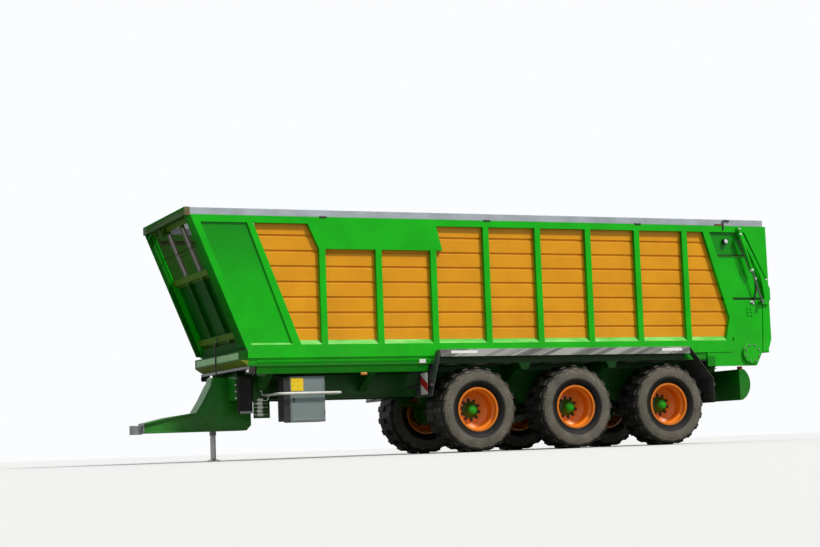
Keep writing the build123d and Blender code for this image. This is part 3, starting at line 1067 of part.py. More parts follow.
# Lamps: red ones on the bumper, amber ones on the bar under the apron, and a work lamp each side
LAMP_BAR = 40
WORK_LAMP_X = SILL_REAR_X + 40
with BuildPart() as lamps:
    with Locations((SILL_FRONT_X, 0, SILL_BOTTOM_Z - LAMP_BAR / 2)):
        Box(LAMP_BAR, 2 * (BODY_HALF_WIDTH - 40), LAMP_BAR)
    for side in (-1, 1):
        with Locations((RAIL_REAR_X - 50, side * (BUMPER_HALF_WIDTH - 50), bumper_top_z + 25)):
            Box(50, 90, 50)
        with Locations((SILL_FRONT_X - 45, side * (BODY_HALF_WIDTH - 45), SILL_BOTTOM_Z - 60)):
            Box(150, 10, 120)
        with Locations((SILL_FRONT_X + 10, side * (BODY_HALF_WIDTH - 30), SILL_BOTTOM_Z - 75)):
            Box(40, 20, 60)
        with Locations((WORK_LAMP_X, side * (REAR_PLATE_Y + 35), TOP_RAIL_BOTTOM_Z - 170)):
            Box(80, 70, 80)
lamps.part.label = "lamps"
export_step(lamps.part, "parts/lamps.step")

# Grey control box on brackets beside the left rail
BOX_X = 3070
BOX_LENGTH = 580
BOX_WIDTH = 320
BOX_HEIGHT = 715
BOX_INNER_Y = 780
BOX_TOP_DROP = 45
with BuildPart() as control_box:
    box_z = RAIL_TOP_Z - BOX_TOP_DROP - BOX_HEIGHT / 2
    with Locations((BOX_X, BOX_INNER_Y + BOX_WIDTH / 2, box_z)):
        Box(BOX_LENGTH, BOX_WIDTH, BOX_HEIGHT)
    with Locations((BOX_X + BOX_LENGTH / 2 + 50, BOX_INNER_Y + BOX_WIDTH / 2, box_z)):
        Box(100, BOX_WIDTH - 20, BOX_HEIGHT - 35)
    rail_side = RAIL_Y + RAIL_PLATE / 2
    for x in (BOX_X - BOX_LENGTH / 4, BOX_X + BOX_LENGTH / 4):
        with Locations((x, (rail_side + BOX_INNER_Y + 10) / 2, RAIL_TOP_Z - 180)):
            Box(60, BOX_INNER_Y + 10 - rail_side, 60)
control_box.part.label = "control_box"
export_step(control_box.part, "parts/control_box.step")

# White guard bar in front of the control box
GUARD_RADIUS = 21
GUARD_LENGTH = 1040
with BuildPart() as guard_bar:
    guard_z = RAIL_BOTTOM_Z + 70
    guard_rear_x = BOX_X - BOX_LENGTH / 2 - 260
    guard_y = BOX_INNER_Y + BOX_WIDTH + 80
    with BuildLine() as guard_path:
        FilletPolyline((guard_rear_x, rail_side, guard_z), (guard_rear_x, guard_y, guard_z),
                       (guard_rear_x + GUARD_LENGTH, guard_y, guard_z),
                       (guard_rear_x + GUARD_LENGTH, rail_side, guard_z), radius=90)
    with BuildSketch(Plane(origin=(guard_rear_x, rail_side, guard_z), z_dir=(0, 1, 0))):
        Circle(GUARD_RADIUS)
    sweep()
guard_bar.part.label = "guard_bar"
export_step(guard_bar.part, "parts/guard_bar.step")
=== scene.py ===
import math

import bpy
from mathutils import Matrix, Vector


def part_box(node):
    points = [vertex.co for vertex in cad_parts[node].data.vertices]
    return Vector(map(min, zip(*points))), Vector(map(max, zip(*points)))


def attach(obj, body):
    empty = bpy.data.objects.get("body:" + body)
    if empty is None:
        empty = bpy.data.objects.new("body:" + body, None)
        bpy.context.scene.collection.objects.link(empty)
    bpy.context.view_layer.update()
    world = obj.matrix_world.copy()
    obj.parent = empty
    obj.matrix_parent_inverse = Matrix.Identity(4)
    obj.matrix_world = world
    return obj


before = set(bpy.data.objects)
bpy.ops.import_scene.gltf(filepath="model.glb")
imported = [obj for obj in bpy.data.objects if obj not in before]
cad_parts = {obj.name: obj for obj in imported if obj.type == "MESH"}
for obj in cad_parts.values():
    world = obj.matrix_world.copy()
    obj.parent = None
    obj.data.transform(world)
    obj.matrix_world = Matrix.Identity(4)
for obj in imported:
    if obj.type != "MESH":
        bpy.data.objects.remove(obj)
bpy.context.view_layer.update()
bpy.ops.object.select_all(action="DESELECT")

# Camera: it stands on the ground to the left of the trailer and a little ahead of it, with a
# long lens that looks slightly up, so the whole left side and a little of the front show.
CAMERA_PLACE = (12.167, 26.091, 0.132)
CAMERA_HEADING = math.radians(156.38)
CAMERA_TILT = math.radians(90 + 5.85)
CAMERA_ROLL = math.radians(-2.08)
CAMERA_LENS = 73.98
bpy.ops.object.camera_add(location=CAMERA_PLACE)
camera = bpy.context.object
camera.name = "photo_camera"
camera.data.lens = CAMERA_LENS
camera.data.sensor_width = 36.0
camera.data.clip_end = 400.0
camera.matrix_world = (
    Matrix.Translation(CAMERA_PLACE)
    @ Matrix.Rotation(CAMERA_HEADING, 4, "Z")
    @ Matrix.Rotation(CAMERA_TILT, 4, "X")
    @ Matrix.Rotation(CAMERA_ROLL, 4, "Z")
)
bpy.context.scene.camera = camera


# Light: a wide soft lamp high behind the trailer's left side, so that faces turned forward stay
# a little darker, and a pale sky that is white to the camera and in reflections.
def feed(tree, node, feeds):
    """Gives inputs of a node a socket or a value each."""
    for label, value in dict(feeds).items():
        if isinstance(value, bpy.types.NodeSocket):
            tree.links.new(value, node.inputs[label])
        else:
            node.inputs[label].default_value = value


def put(tree, kind, feeds=(), **settings):
    """A new node with its settings and inputs."""
    node = tree.nodes.new(kind)
    for label, value in settings.items():
        setattr(node, label, value)
    feed(tree, node, feeds)
    return node


def maths(tree, operation, *values):
    """A math node on its values, each a socket or a number."""
    return put(tree, "ShaderNodeMath", enumerate(values), operation=operation).outputs[0]


SUN_TURN = (math.radians(40), 0, math.radians(214))
bpy.ops.object.light_add(type="SUN", rotation=SUN_TURN)
sun = bpy.context.object
sun.name = "soft_sun"
sun.data.energy = 3.1
sun.data.angle = math.radians(7)
sun.data.color = (1.0, 0.97, 0.92)
world = bpy.data.worlds.new("pale_sky")
bpy.context.scene.world = world
world.use_nodes = True
sky = world.node_tree
sky_light = sky.nodes["Background"]
sky_light.inputs["Color"].default_value = (0.86, 0.90, 0.96, 1)
sky_light.inputs["Strength"].default_value = 0.60
sky_seen = put(sky, "ShaderNodeBackground", {"Color": (0.97, 0.98, 1.0, 1), "Strength": 1.0})
sky_rays = put(sky, "ShaderNodeLightPath").outputs
sky_direct = maths(sky, "MAXIMUM", sky_rays["Is Camera Ray"], sky_rays["Is Transmission Ray"])
sky_shown = maths(sky, "MAXIMUM", sky_direct, sky_rays["Is Glossy Ray"])
sky_mix = put(sky, "ShaderNodeMixShader", {0: sky_shown, 1: sky_light.outputs[0], 2: sky_seen.outputs[0]})
sky.links.new(sky_mix.outputs[0], sky.nodes["World Output"].inputs["Surface"])


# Floor: a plain pale surface that runs out to the horizon. It is pale to the camera, and throws
# back only a dull greenish light on the underside.
def new_finish(name):
    """A new material with its node tree and its shader."""
    finish = bpy.data.materials.new(name)
    finish.use_nodes = True
    return finish, finish.node_tree, finish.node_tree.nodes["Principled BSDF"]


def blend(tree, mask, first, second):
    """A colour mix by a mask; each colour is a socket or a tuple."""
    feeds = {"Factor": mask}
    for index, colour in ((6, first), (7, second)):
        feeds[index] = (*colour, 1) if isinstance(colour, tuple) else colour
    return put(tree, "ShaderNodeMix", feeds, data_type="RGBA").outputs[2]


FLOOR_SIZE = 260.0
FLOOR_BOUNCE = (0.24, 0.25, 0.21)
FLOOR_SEEN = (0.68, 0.68, 0.67)
bpy.ops.mesh.primitive_plane_add(size=FLOOR_SIZE)
floor = bpy.context.object
floor.name = "pale_floor"
floor_finish, floor_tree, floor_shader = new_finish("pale_floor")
floor_rays = put(floor_tree, "ShaderNodeLightPath").outputs
floor_shown = maths(floor_tree, "MAXIMUM", floor_rays["Is Camera Ray"], floor_rays["Is Transmission Ray"])
feed(floor_tree, floor_shader, {
    "Base Color": blend(floor_tree, floor_shown, FLOOR_BOUNCE, FLOOR_SEEN), "Roughness": 0.9})
floor.data.materials.append(floor_finish)


# Sill, top rail, ribs and plates of the side walls: folded and welded steel, painted a bright
# leaf green, with rolled edges that carry a painted highlight in a lighter green, and a little dust low
# down.
def new_group(name, inputs, outputs):
    """An empty shader node group with float inputs (name: value) and outputs (name: type)."""
    group = bpy.data.node_groups.new(name, "ShaderNodeTree")
    for label, value in inputs.items():
        made = group.interface.new_socket(label, in_out="INPUT", socket_type="NodeSocketFloat")
        made.default_value = value
    for label, kind in outputs.items():
        group.interface.new_socket(label, in_out="OUTPUT", socket_type=kind)
    return group, group.nodes.new("NodeGroupInput").outputs, group.nodes.new("NodeGroupOutput")


def times(tree, *factors):
    """The product of sockets and numbers."""
    product = factors[0]
    for factor in factors[1:]:
        product = maths(tree, "MULTIPLY", product, factor)
    return product


def ramp(tree, value, low, high, to_low=0.0, to_high=1.0):
    """A value carried from one range to another and held inside it; limits are sockets or numbers."""
    feeds = {"Value": value, "From Min": low, "From Max": high, "To Min": to_low, "To Max": to_high}
    return put(tree, "ShaderNodeMapRange", feeds).outputs[0]


def between(tree, value, low, high, soft=0.003):
    """1 where a value lies between two limits, with soft ends."""
    rise = ramp(tree, value, low - soft, low + soft)
    fall = ramp(tree, value, high - soft, high + soft)
    return maths(tree, "SUBTRACT", rise, fall)


def noise(tree, vector, scale, detail=3.0, roughness=0.55):
    """A noise texture's value on a vector."""
    feeds = {"Vector": vector, "Scale": scale, "Detail": detail, "Roughness": roughness}
    return put(tree, "ShaderNodeTexNoise", feeds).outputs[0]


def stretched(tree, vector, scale):
    """A vector scaled along its axes, so that a pattern on it is drawn out."""
    return put(tree, "ShaderNodeMapping", {"Vector": vector, "Scale": scale}).outputs[0]


def split(tree, vector):
    """A vector's X, Y and Z."""
    return put(tree, "ShaderNodeSeparateXYZ", {0: vector}).outputs


def object_vector(tree):
    """A point's place in the shared frame."""
    return put(tree, "ShaderNodeTexCoord").outputs["Object"]


def object_place(tree):
    """A point's place on the trailer: the vector, X, distance from the middle plane, and Z."""
    vector = object_vector(tree)
    parts = split(tree, vector)
    return vector, parts["X"], maths(tree, "ABSOLUTE", parts["Y"]), parts["Z"]


# Group: dust that settles low on the machine and on faces that look up, broken into
# grains and clouds. It puts out a mask.
dust_group, dust_in, dust_out = new_group(
    "settled dust", {"Clean height": 2.2, "Thick height": 0.4, "Amount": 0.6, "Grain": 9.0},
    {"Mask": "NodeSocketFloat"})
dust_place = object_vector(dust_group)
dust_low = ramp(
    dust_group, split(dust_group, dust_place)["Z"], dust_in["Clean height"], dust_in["Thick height"])
dust_facing = split(dust_group, put(dust_group, "ShaderNodeNewGeometry").outputs["Normal"])
dust_upward = ramp(dust_group, dust_facing["Z"], 0.3, 1.0, 0.0, 0.5)
dust_fine = noise(dust_group, dust_place, dust_in["Grain"], 6.0, 0.65)
dust_cloud = noise(dust_group, dust_place, 1.3, 3.0)
dust_grain = ramp(dust_group, times(dust_group, dust_fine, dust_cloud), 0.12, 0.38)
dust_sum = maths(dust_group, "ADD", dust_low, times(dust_group, dust_upward, dust_low))
dust_mask = times(dust_group, dust_sum, dust_grain, dust_in["Amount"])
feed(dust_group, dust_out, {"Mask": maths(dust_group, "MINIMUM", dust_mask, 1.0)})

# Group: the small radius of a fold in sheet or of a moulded edge. It puts out a rounded normal
# and a mask of the edge itself.
edge_group, edge_in, edge_out = new_group(
    "rolled edge", {"Radius": 0.006}, {"Normal": "NodeSocketVector", "Edge": "NodeSocketFloat"})
edge_bevel = put(edge_group, "ShaderNodeBevel", {"Radius": edge_in["Radius"]}, samples=4).outputs[0]
edge_flat = put(edge_group, "ShaderNodeNewGeometry").outputs["True Normal"]
edge_dot = put(edge_group, "ShaderNodeVectorMath", {0: edge_bevel, 1: edge_flat}, operation="DOT_PRODUCT")
feed(edge_group, edge_out, {
    "Edge": ramp(edge_group, edge_dot.outputs["Value"], 0.995, 0.80), "Normal": edge_bevel})


def use_group(tree, group, **values):
    """A group's outputs in a material, with its own values."""
    feeds = {label.replace("_", " "): value for label, value in values.items()}
    return put(tree, "ShaderNodeGroup", feeds, node_tree=group).outputs


def bump(tree, height, strength, distance, normal=None):
    """A bump from a height, on top of another normal if one is given."""
    feeds = {"Height": height, "Strength": strength, "Distance": distance}
    if normal is not None:
        feeds["Normal"] = normal
    return put(tree, "ShaderNodeBump", feeds).outputs[0]


DUST_COLOUR = (0.30, 0.25, 0.17)
PAINT_FOLD = 0.006


def paint(name, deep, bright, roughness, dust, clean_height=2.2, patch=None, shine=0.20):
    """Machine paint: two tones of one colour, rolled edges with a painted highlight in a lighter tone,
    slight waves and dust low down.
    """
    finish, tree, shader = new_finish(name)
    place, along, across, height = object_place(tree)
    dusty = use_group(tree, dust_group, Amount=dust, Clean_height=clean_height)["Mask"]
    fold = use_group(tree, edge_group, Radius=PAINT_FOLD)
    colour = blend(tree, ramp(tree, noise(tree, place, 1.7, 4.0), 0.32, 0.68), deep, bright)
    if patch is not None:
        colour = patch(tree, along, across, height, colour)
    # Painted highlight: the rolled edges are painted a lighter tone of the bright colour.
    painted_edge_highlight = tuple(min(1.0, channel * 1.25 + 0.05) for channel in bright)
    colour = blend(tree, times(tree, fold["Edge"], 0.25), colour, painted_edge_highlight)
    dulled = ramp(tree, dusty, 0.0, 0.6, roughness, 0.85)
    speckle = ramp(tree, noise(tree, place, 38.0, 2.0), 0.3, 0.7, -0.05, 0.07)
    feed(tree, shader, {
        "Base Color": blend(tree, dusty, colour, DUST_COLOUR),
        "Roughness": maths(tree, "ADD", dulled, speckle),
        "Specular IOR Level": shine, "Coat Weight": shine * 0.4, "Coat Roughness": 0.15,
        "Normal": bump(tree, noise(tree, place, 3.1, 2.0), 0.10, 0.01, fold["Normal"]),
    })
    return finish


def finish_nodes(material, *names):
    """Gives CAD nodes their finish."""
    for name in names:
        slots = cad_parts[name].data.materials
        slots.clear()
        slots.append(material)


PLATE_FACE_Y = 1.243
SKIRT_INNER_Y = 1.10
REAR_PLATE_X = -4.40


def wall_tones_and_painted_light(tree, along, across, height, colour):
    """Deeper green higher up on the plates, a darker skirt and a dark band behind the fenders as painted
    shade, a pale painted sheen on low ledges, and painted shadow in the rear seams.
    """
    plate = maths(tree, "LESS_THAN", across, PLATE_FACE_Y)
    behind = maths(tree, "LESS_THAN", along, REAR_PLATE_X)
    start = maths(tree, "MULTIPLY_ADD", behind, 0.70, 2.50)
    end = maths(tree, "MULTIPLY_ADD", behind, -0.33, 3.65)
    high = times(tree, plate, ramp(tree, height, start, end))
    colour = blend(tree, high, colour, (0.003, 0.24, 0.004))
    # Painted shade: the skirt under the sill is painted a darker green low down, where the sill's shadow
    # falls and the face slopes inward.
    painted_skirt_shade = times(tree, maths(tree, "GREATER_THAN", across, SKIRT_INNER_Y), ramp(tree, height, 1.53, 1.49),
                  maths(tree, "GREATER_THAN", along, -4.45))
    colour = blend(tree, painted_skirt_shade, colour, (0.002, 0.20, 0.003))
    # Painted shadow: a dark green band low on the walls behind the fenders, where the fenders shade them.
    painted_shade_mask = times(tree, between(tree, along, -3.84, 0.90), maths(tree, "LESS_THAN", height, 1.60))
    colour = blend(tree, painted_shade_mask, colour, (0.002, 0.040, 0.003))
    # Painted highlight: low ledges that face up are painted a pale, streaky green, a sheen of sky on the
    # sloped sill.
    upward = split(tree, put(tree, "ShaderNodeNewGeometry").outputs["True Normal"])["Z"]
    ledge = times(tree, between(tree, upward, 0.30, 0.97, 0.02), ramp(tree, height, 2.05, 1.95))
    drawn = stretched(tree, object_vector(tree), (1.0, 4.0, 4.0))
    painted_ledge_sheen = ramp(tree, noise(tree, drawn, 2.2, 5.0, 0.6), 0.38, 0.66, 0.25, 0.85)
    colour = blend(tree, times(tree, ledge, painted_ledge_sheen), colour, (0.30, 0.70, 0.20))
    # Painted shadow: dark lines in the two seams of the rear plates, under the fields that stand proud.
    rear = times(tree, maths(tree, "LESS_THAN", along, -4.60), plate)
    painted_seam_shadow = maths(tree, "ADD", between(tree, height, 3.274, 3.298, 0.005),
                 between(tree, height, 2.492, 2.535, 0.004))
    return blend(tree, times(tree, rear, painted_seam_shadow), colour, (0.001, 0.035, 0.002))


body_green = paint("body_green_paint", (0.003, 0.37, 0.003), (0.005, 0.47, 0.004), 0.30, 0.16,
                   patch=wall_tones_and_painted_light, shine=0.16)
finish_nodes(body_green, "side_frames", "tailgate", "tailgate_cylinder_left", "tailgate_cylinder_right",
             "conveyor_drive")


# Bare plate on the skirt, and an amber side marker under it, on both sides: a small blank of
# white sheet glued on, and a lens of moulded plastic fixed to the skirt's lower fold.
SIDES = ((1, "left"), (-1, "right"))


def clear_selection():
    """Leaves edit mode and selects nothing, so that an operator meets only its own piece."""
    if bpy.context.object and bpy.context.object.mode != "OBJECT":
        bpy.ops.object.mode_set(mode="OBJECT")
    bpy.ops.object.select_all(action="DESELECT")


def select_only(piece):
    """Selects one piece and makes it active, in object mode."""
    clear_selection()
    piece.select_set(True)
    bpy.context.view_layer.objects.active = piece


def block(low, high):
    """A blank between two corners."""
    clear_selection()
    bpy.ops.mesh.primitive_cube_add(size=1, location=[(a + b) / 2 for a, b in zip(low, high)])
    piece = bpy.context.object
    piece.scale = [b - a for a, b in zip(low, high)]
    bpy.ops.object.transform_apply()
    return piece


def side_block(side, low, high):
    """A blank given for the left side, or its mirror image for the right side."""
    low_y, high_y = sorted((side * low[1], side * high[1]))
    return block((low[0], low_y, low[2]), (high[0], high_y, high[2]))


def round_blank(centre, radius, depth, axis, sides=24):
    """A round or many-sided blank along an axis."""
    clear_selection()
    turn = {"X": (0, math.pi / 2, 0), "Y": (-math.pi / 2, 0, 0), "Z": (0, 0, 0)}[axis]
    bpy.ops.mesh.primitive_cylinder_add(
        vertices=sides, radius=radius, depth=depth, location=centre, rotation=turn)
    bpy.ops.object.transform_apply()
    return bpy.context.object


def pick(piece, test):
    """Goes into edit mode with the faces selected whose middle and normal pass a test."""
    select_only(piece)
    bpy.ops.object.mode_set(mode="EDIT")
    bpy.ops.mesh.select_mode(type="FACE")
    bpy.ops.mesh.select_all(action="DESELECT")
    bpy.ops.object.mode_set(mode="OBJECT")
    for face in piece.data.polygons:
        face.select = bool(test(face.center, face.normal))
    bpy.ops.object.mode_set(mode="EDIT")


def toward(axis, sign=1):
    """A test for the faces that look along an axis, or against it with the sign -1."""
    index = "XYZ".index(axis)
    return lambda middle, normal: normal[index] * sign > 0.9


def either_way(axis):
    """A test for the faces at both ends of an axis."""
    index = "XYZ".index(axis)
    return lambda middle, normal: abs(normal[index]) > 0.9


def inset(thickness, depth=0.0):
    """Insets the picked faces."""
    bpy.ops.mesh.inset(thickness=thickness, depth=depth)


def draw_out(move):
    """Extrudes the picked faces by a move."""
    bpy.ops.mesh.extrude_region_move(TRANSFORM_OT_translate={"value": move})


def swell_out(distance):
    """Extrudes each picked face along its own normal."""
    bpy.ops.mesh.extrude_region_shrink_fatten(TRANSFORM_OT_shrink_fatten={"value": distance})


def step(thickness, move):
    """Insets the picked faces and moves the new ones out or in."""
    inset(thickness)
    draw_out(move)


def soften(piece, width, segments=2):
    """Rounds every sharp edge."""
    select_only(piece)
    rounding = piece.modifiers.new("soft_edges", "BEVEL")
    rounding.width = width
    rounding.segments = segments
    rounding.limit_method = "ANGLE"
    rounding.angle_limit = math.radians(35)
    bpy.ops.object.modifier_apply(modifier=rounding.name)


def press(piece, axis, sign, steps, rounding, segments=1):
    """Steps one face of a blank out or in, once or twice, and rounds the edges."""
    pick(piece, toward(axis, sign))
    for thickness, distance in steps:
        step(thickness, [sign * distance if letter == axis else 0 for letter in "XYZ"])
    soften(piece, rounding, segments)


def keep(piece, name, material, body="trailer"):
    """Names a finished piece, gives it its finish and fixes it to its body."""
    select_only(piece)
    bpy.ops.object.transform_apply()
    bpy.ops.object.shade_smooth_by_angle(angle=math.radians(30))
    piece.name = name
    piece.data.name = name
    piece.data.materials.clear()
    piece.data.materials.append(material)
    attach(piece, body)


def scatter(pattern, places, name, material, body="trailer"):
    """Copies a finished pattern to each place, each copy with its own mesh, and joins them."""
    copies = []
    for place in places:
        copy = pattern.copy()
        copy.data = pattern.data.copy()
        copy.data.transform(place)
        bpy.context.collection.objects.link(copy)
        copies.append(copy)
    clear_selection()
    for copy in copies:
        copy.select_set(True)
    bpy.context.view_layer.objects.active = copies[0]
    if len(copies) > 1:
        bpy.ops.object.join()
    keep(copies[0], name, material, body)


def discard(*patterns):
    """Removes patterns whose copies are in place."""
    for pattern in patterns:
        bpy.data.objects.remove(pattern)


def on_side(side, x, y, z):
    """A place on one side, for a copy that was made for the left side and looks outward there."""
    return Matrix.Translation((x, side * y, z)) @ Matrix.Rotation(0 if side > 0 else math.pi, 4, "Z")


def both_sides(*spots):
    """The same places on the left side and on the right side."""
    return [on_side(side, *spot) for side in (1, -1) for spot in spots]


def ring(side, centre, radius, count, first=0.0, turned=False):
    """Places round a circle on one side; turned copies turn with their places."""
    places = []
    for index in range(count):
        turn = math.radians(first + 360 / count * index)
        place = on_side(side, centre[0] + radius * math.cos(turn), centre[1],
                        centre[2] + radius * math.sin(turn))
        places.append(place @ Matrix.Rotation(turn if turned else 0, 4, "Y"))
    return places


def hex_bolt(radius, head):
    """A hexagon head on its washer, which looks along +Y from the plate it is in."""
    bolt = round_blank((0, head / 2, 0), radius, head, "Y", 6)
    pick(bolt, toward("Y", -1))
    draw_out((0, -0.001, 0))
    bpy.ops.transform.resize(value=(1.3, 1, 1.3))
    draw_out((0, -0.003, 0))
    pick(bolt, toward("Y"))
    inset(radius * 0.18, radius * 0.12)
    clear_selection()
    return bolt


def faint_folds(tree, along, across, height, colour):
    """Faint folds across a bare plate."""
    fold = between(tree, maths(tree, "PINGPONG", height, 0.03), 0.0, 0.004, 0.002)
    return blend(tree, times(tree, fold, 0.25), colour, (0.45, 0.45, 0.43))


def lens(name, colour, depth):
    """Moulded lamp plastic: fine prism ribs under a hard clear surface."""
    finish, tree, shader = new_finish(name)
    place, along, across, height = object_place(tree)
    ribs = maths(tree, "PINGPONG", maths(tree, "ADD", height, times(tree, along, 0.35)), 0.005)
    tone = ramp(tree, ribs, 0.0, 0.005)
    feed(tree, shader, {
        "Base Color": blend(tree, tone, depth, colour),
        "Roughness": ramp(tree, noise(tree, place, 14.0, 3.0), 0.35, 0.75, 0.10, 0.34),
        "Coat Weight": 0.6, "Coat Roughness": 0.05, "Normal": bump(tree, tone, 0.5, 0.002),
    })
    return finish


plate_white = paint("plate_white_film", (0.66, 0.66, 0.63), (0.78, 0.78, 0.75), 0.45, 0.2,
                    patch=faint_folds)
lens_amber = lens("lens_amber", (0.75, 0.26, 0.01), (0.42, 0.10, 0.004))
lens_red = lens("lens_red", (0.60, 0.015, 0.01), (0.25, 0.004, 0.003))
lens_clear = lens("lens_clear", (0.72, 0.74, 0.76), (0.40, 0.42, 0.45))
for side, side_name in SIDES:
    blank = side_block(side, (1.07, 1.206, 1.46), (1.185, 1.229, 1.522))
    press(blank, "Y", side, [(0.004, 0.0015)], 0.001)
    keep(blank, f"skirt_plate_{side_name}", plate_white)
    marker = side_block(side, (2.075, 1.148, 1.288), (2.185, 1.166, 1.3305))
    press(marker, "Y", side, [(0.005, 0.010)], 0.004, 2)
    keep(marker, f"side_marker_{side_name}", lens_amber)

# Corrugated side sheets: thin rolled steel, painted a warm yellow before they are riveted in
# between the ribs. Dust reaches a little higher on them than on the frame.
sheet_yellow = paint("sheet_yellow_paint", (0.66, 0.265, 0.003), (0.76, 0.325, 0.004), 0.36, 0.15, 2.4)
finish_nodes(sheet_yellow, "side_sheets")


# Top boards: brushed aluminium extrusions bolted along the top rails, held down by short dark
# clamps at their joints, with a hooked strap over the rear end of each.
def brushed(name, colour, roughness, along=(1.0, 30.0, 30.0), metallic=0.85, patch=None, shine=0.5):
    """Bare metal with a drawn grain along one axis and dull patches."""
    finish, tree, shader = new_finish(name)
    place, x_place, across, height = object_place(tree)
    grain = noise(tree, stretched(tree, place, along), 6.0, 5.0)
    cloud = noise(tree, place, 2.3, 3.0)
    tone = ramp(tree, maths(tree, "ADD", grain, cloud), 0.7, 1.3)
    shown = blend(tree, tone, tuple(channel * 0.72 for channel in colour), colour)
    if patch is not None:
        shown = patch(tree, x_place, across, height, shown)
    fold = use_group(tree, edge_group, Radius=0.004)
    feed(tree, shader, {
        "Base Color": shown, "Metallic": metallic, "Specular IOR Level": shine,
        "Roughness": ramp(tree, cloud, 0.3, 0.7, roughness - 0.08, roughness + 0.12),
        "Normal": bump(tree, grain, 0.06, 0.002, fold["Normal"]),
    })
    return finish


def tube(points, radius, name, material, body="trailer"):
    """A bent pipe or bar along a few points."""
    clear_selection()
    line = bpy.data.curves.new(name, "CURVE")
    line.dimensions = "3D"
    run = line.splines.new("NURBS")
    run.points.add(len(points) - 1)
    for point, place in zip(run.points, points):
        point.co = (*place, 1)
    run.order_u = 3
    run.use_endpoint_u = True
    run.resolution_u = 5
    line.bevel_depth = radius
    line.bevel_resolution = 2
    line.use_fill_caps = True
    piece = bpy.data.objects.new(name, line)
    bpy.context.collection.objects.link(piece)
    select_only(piece)
    bpy.ops.object.convert(target="MESH")
    keep(bpy.context.object, name, material, body)


board_aluminium = brushed("board_aluminium", (0.40, 0.44, 0.48), 0.46, metallic=0.6)
finish_nodes(board_aluminium, "top_boards")
dark_steel = brushed("dark_steel", (0.075, 0.072, 0.070), 0.5, (8.0, 8.0, 8.0), 0.7)
rusty_brown = brushed("rusty_brown", (0.20, 0.085, 0.030), 0.7, (7.0, 7.0, 7.0), 0.3)
bare_steel = brushed("bare_steel", (0.48, 0.47, 0.45), 0.38, (8.0, 8.0, 8.0), 0.9)
WALL_FACE_Y = 1.2285
CLAMP_FIRST_X = 2.774
CLAMP_PITCH = 2.893
CLAMP_Z = 3.80
clamp = block((-0.06, 0.0, -0.014), (0.06, 0.030, 0.016))
press(clamp, "Y", 1, [(0.006, 0.006)], 0.003, 2)
clamp_places = both_sides(*[(CLAMP_FIRST_X - index * CLAMP_PITCH, WALL_FACE_Y, CLAMP_Z)
                            for index in range(3)])
scatter(clamp, clamp_places, "board_clamps", dark_steel)
discard(clamp)
for side, side_name in SIDES:
    tube([(-4.752, side * 1.262, 3.735), (-4.754, side * 1.262, 3.80), (-4.760, side * 1.248, 3.86),
          (-4.775, side * 1.246, 3.900), (-4.83, side * 1.246, 3.903), (-4.89, side * 1.246, 3.885)],
         0.0155, f"board_hook_{side_name}", dark_steel)
    strap = side_block(side, (-4.745, 1.232, 3.803), (-4.60, 1.256, 3.832))
    press(strap, "Y", side, [(0.005, -0.004)], 0.002)
    keep(strap, f"board_strap_{side_name}", rusty_brown)


# Headboard: a leaning frame of beams and two tubes over dark sheet, in a much darker copy of the wall green
# as painted shade on its forward faces.
# Its beams are olive and its lower fold is painted olive as shade; the tubes beside the grille are worn to
# grey.
HEADBOARD_BEAMS = ((1.88, 2.005), (2.89, 3.005), (3.70, 3.83))


def headboard_tones_and_shade(tree, along, across, height, colour):
    """Grey tubes beside the grille, olive beams, and the lower fold painted olive as shade."""
    tubes = times(tree, between(tree, across, 0.357, 0.443), between(tree, height, 3.0, 3.72))
    colour = blend(tree, tubes, colour, (0.16, 0.16, 0.14))
    for low, high in HEADBOARD_BEAMS:
        colour = blend(tree, between(tree, height, low, high), colour, (0.07, 0.17, 0.008))
    # Painted shade: the lower fold under the apron is painted olive, the tone it takes in shade.
    under = times(tree, between(tree, height, 1.45, 1.545), maths(tree, "GREATER_THAN", along, 4.06))
    return blend(tree, under, colour, (0.15, 0.20, 0.02))


# Painted shade: the headboard's paint is a much darker copy of the wall green, for its forward faces in
# shade.
headboard_shaded_green = paint("headboard_shaded_green_paint", (0.001, 0.060, 0.002), (0.002, 0.095, 0.003), 0.55, 0.12,
                        patch=headboard_tones_and_shade, shine=0.05)
finish_nodes(headboard_shaded_green, "headboard")

# Grille in the headboard: flat steel bars in a frame, dark brown, for looking into the body
# from the front.
grille_brown = brushed("grille_brown", (0.022, 0.012, 0.008), 0.8, (9.0, 9.0, 9.0), 0.0, shine=0.08)
finish_nodes(grille_brown, "headboard_grille")

# Posts folded round the leaning front edges of the side walls, and the channel that closes the
# front ends of the top boards between them. The channel's front is stained olive.
HEAD_LEAN = 0.4082
HEAD_PLANE_X = 4.195
HEAD_PLANE_Z = 1.947
lean_forward = Matrix.Identity(4)
lean_forward[0][2] = HEAD_LEAN
lean_forward[0][3] = HEAD_PLANE_X - HEAD_LEAN * HEAD_PLANE_Z
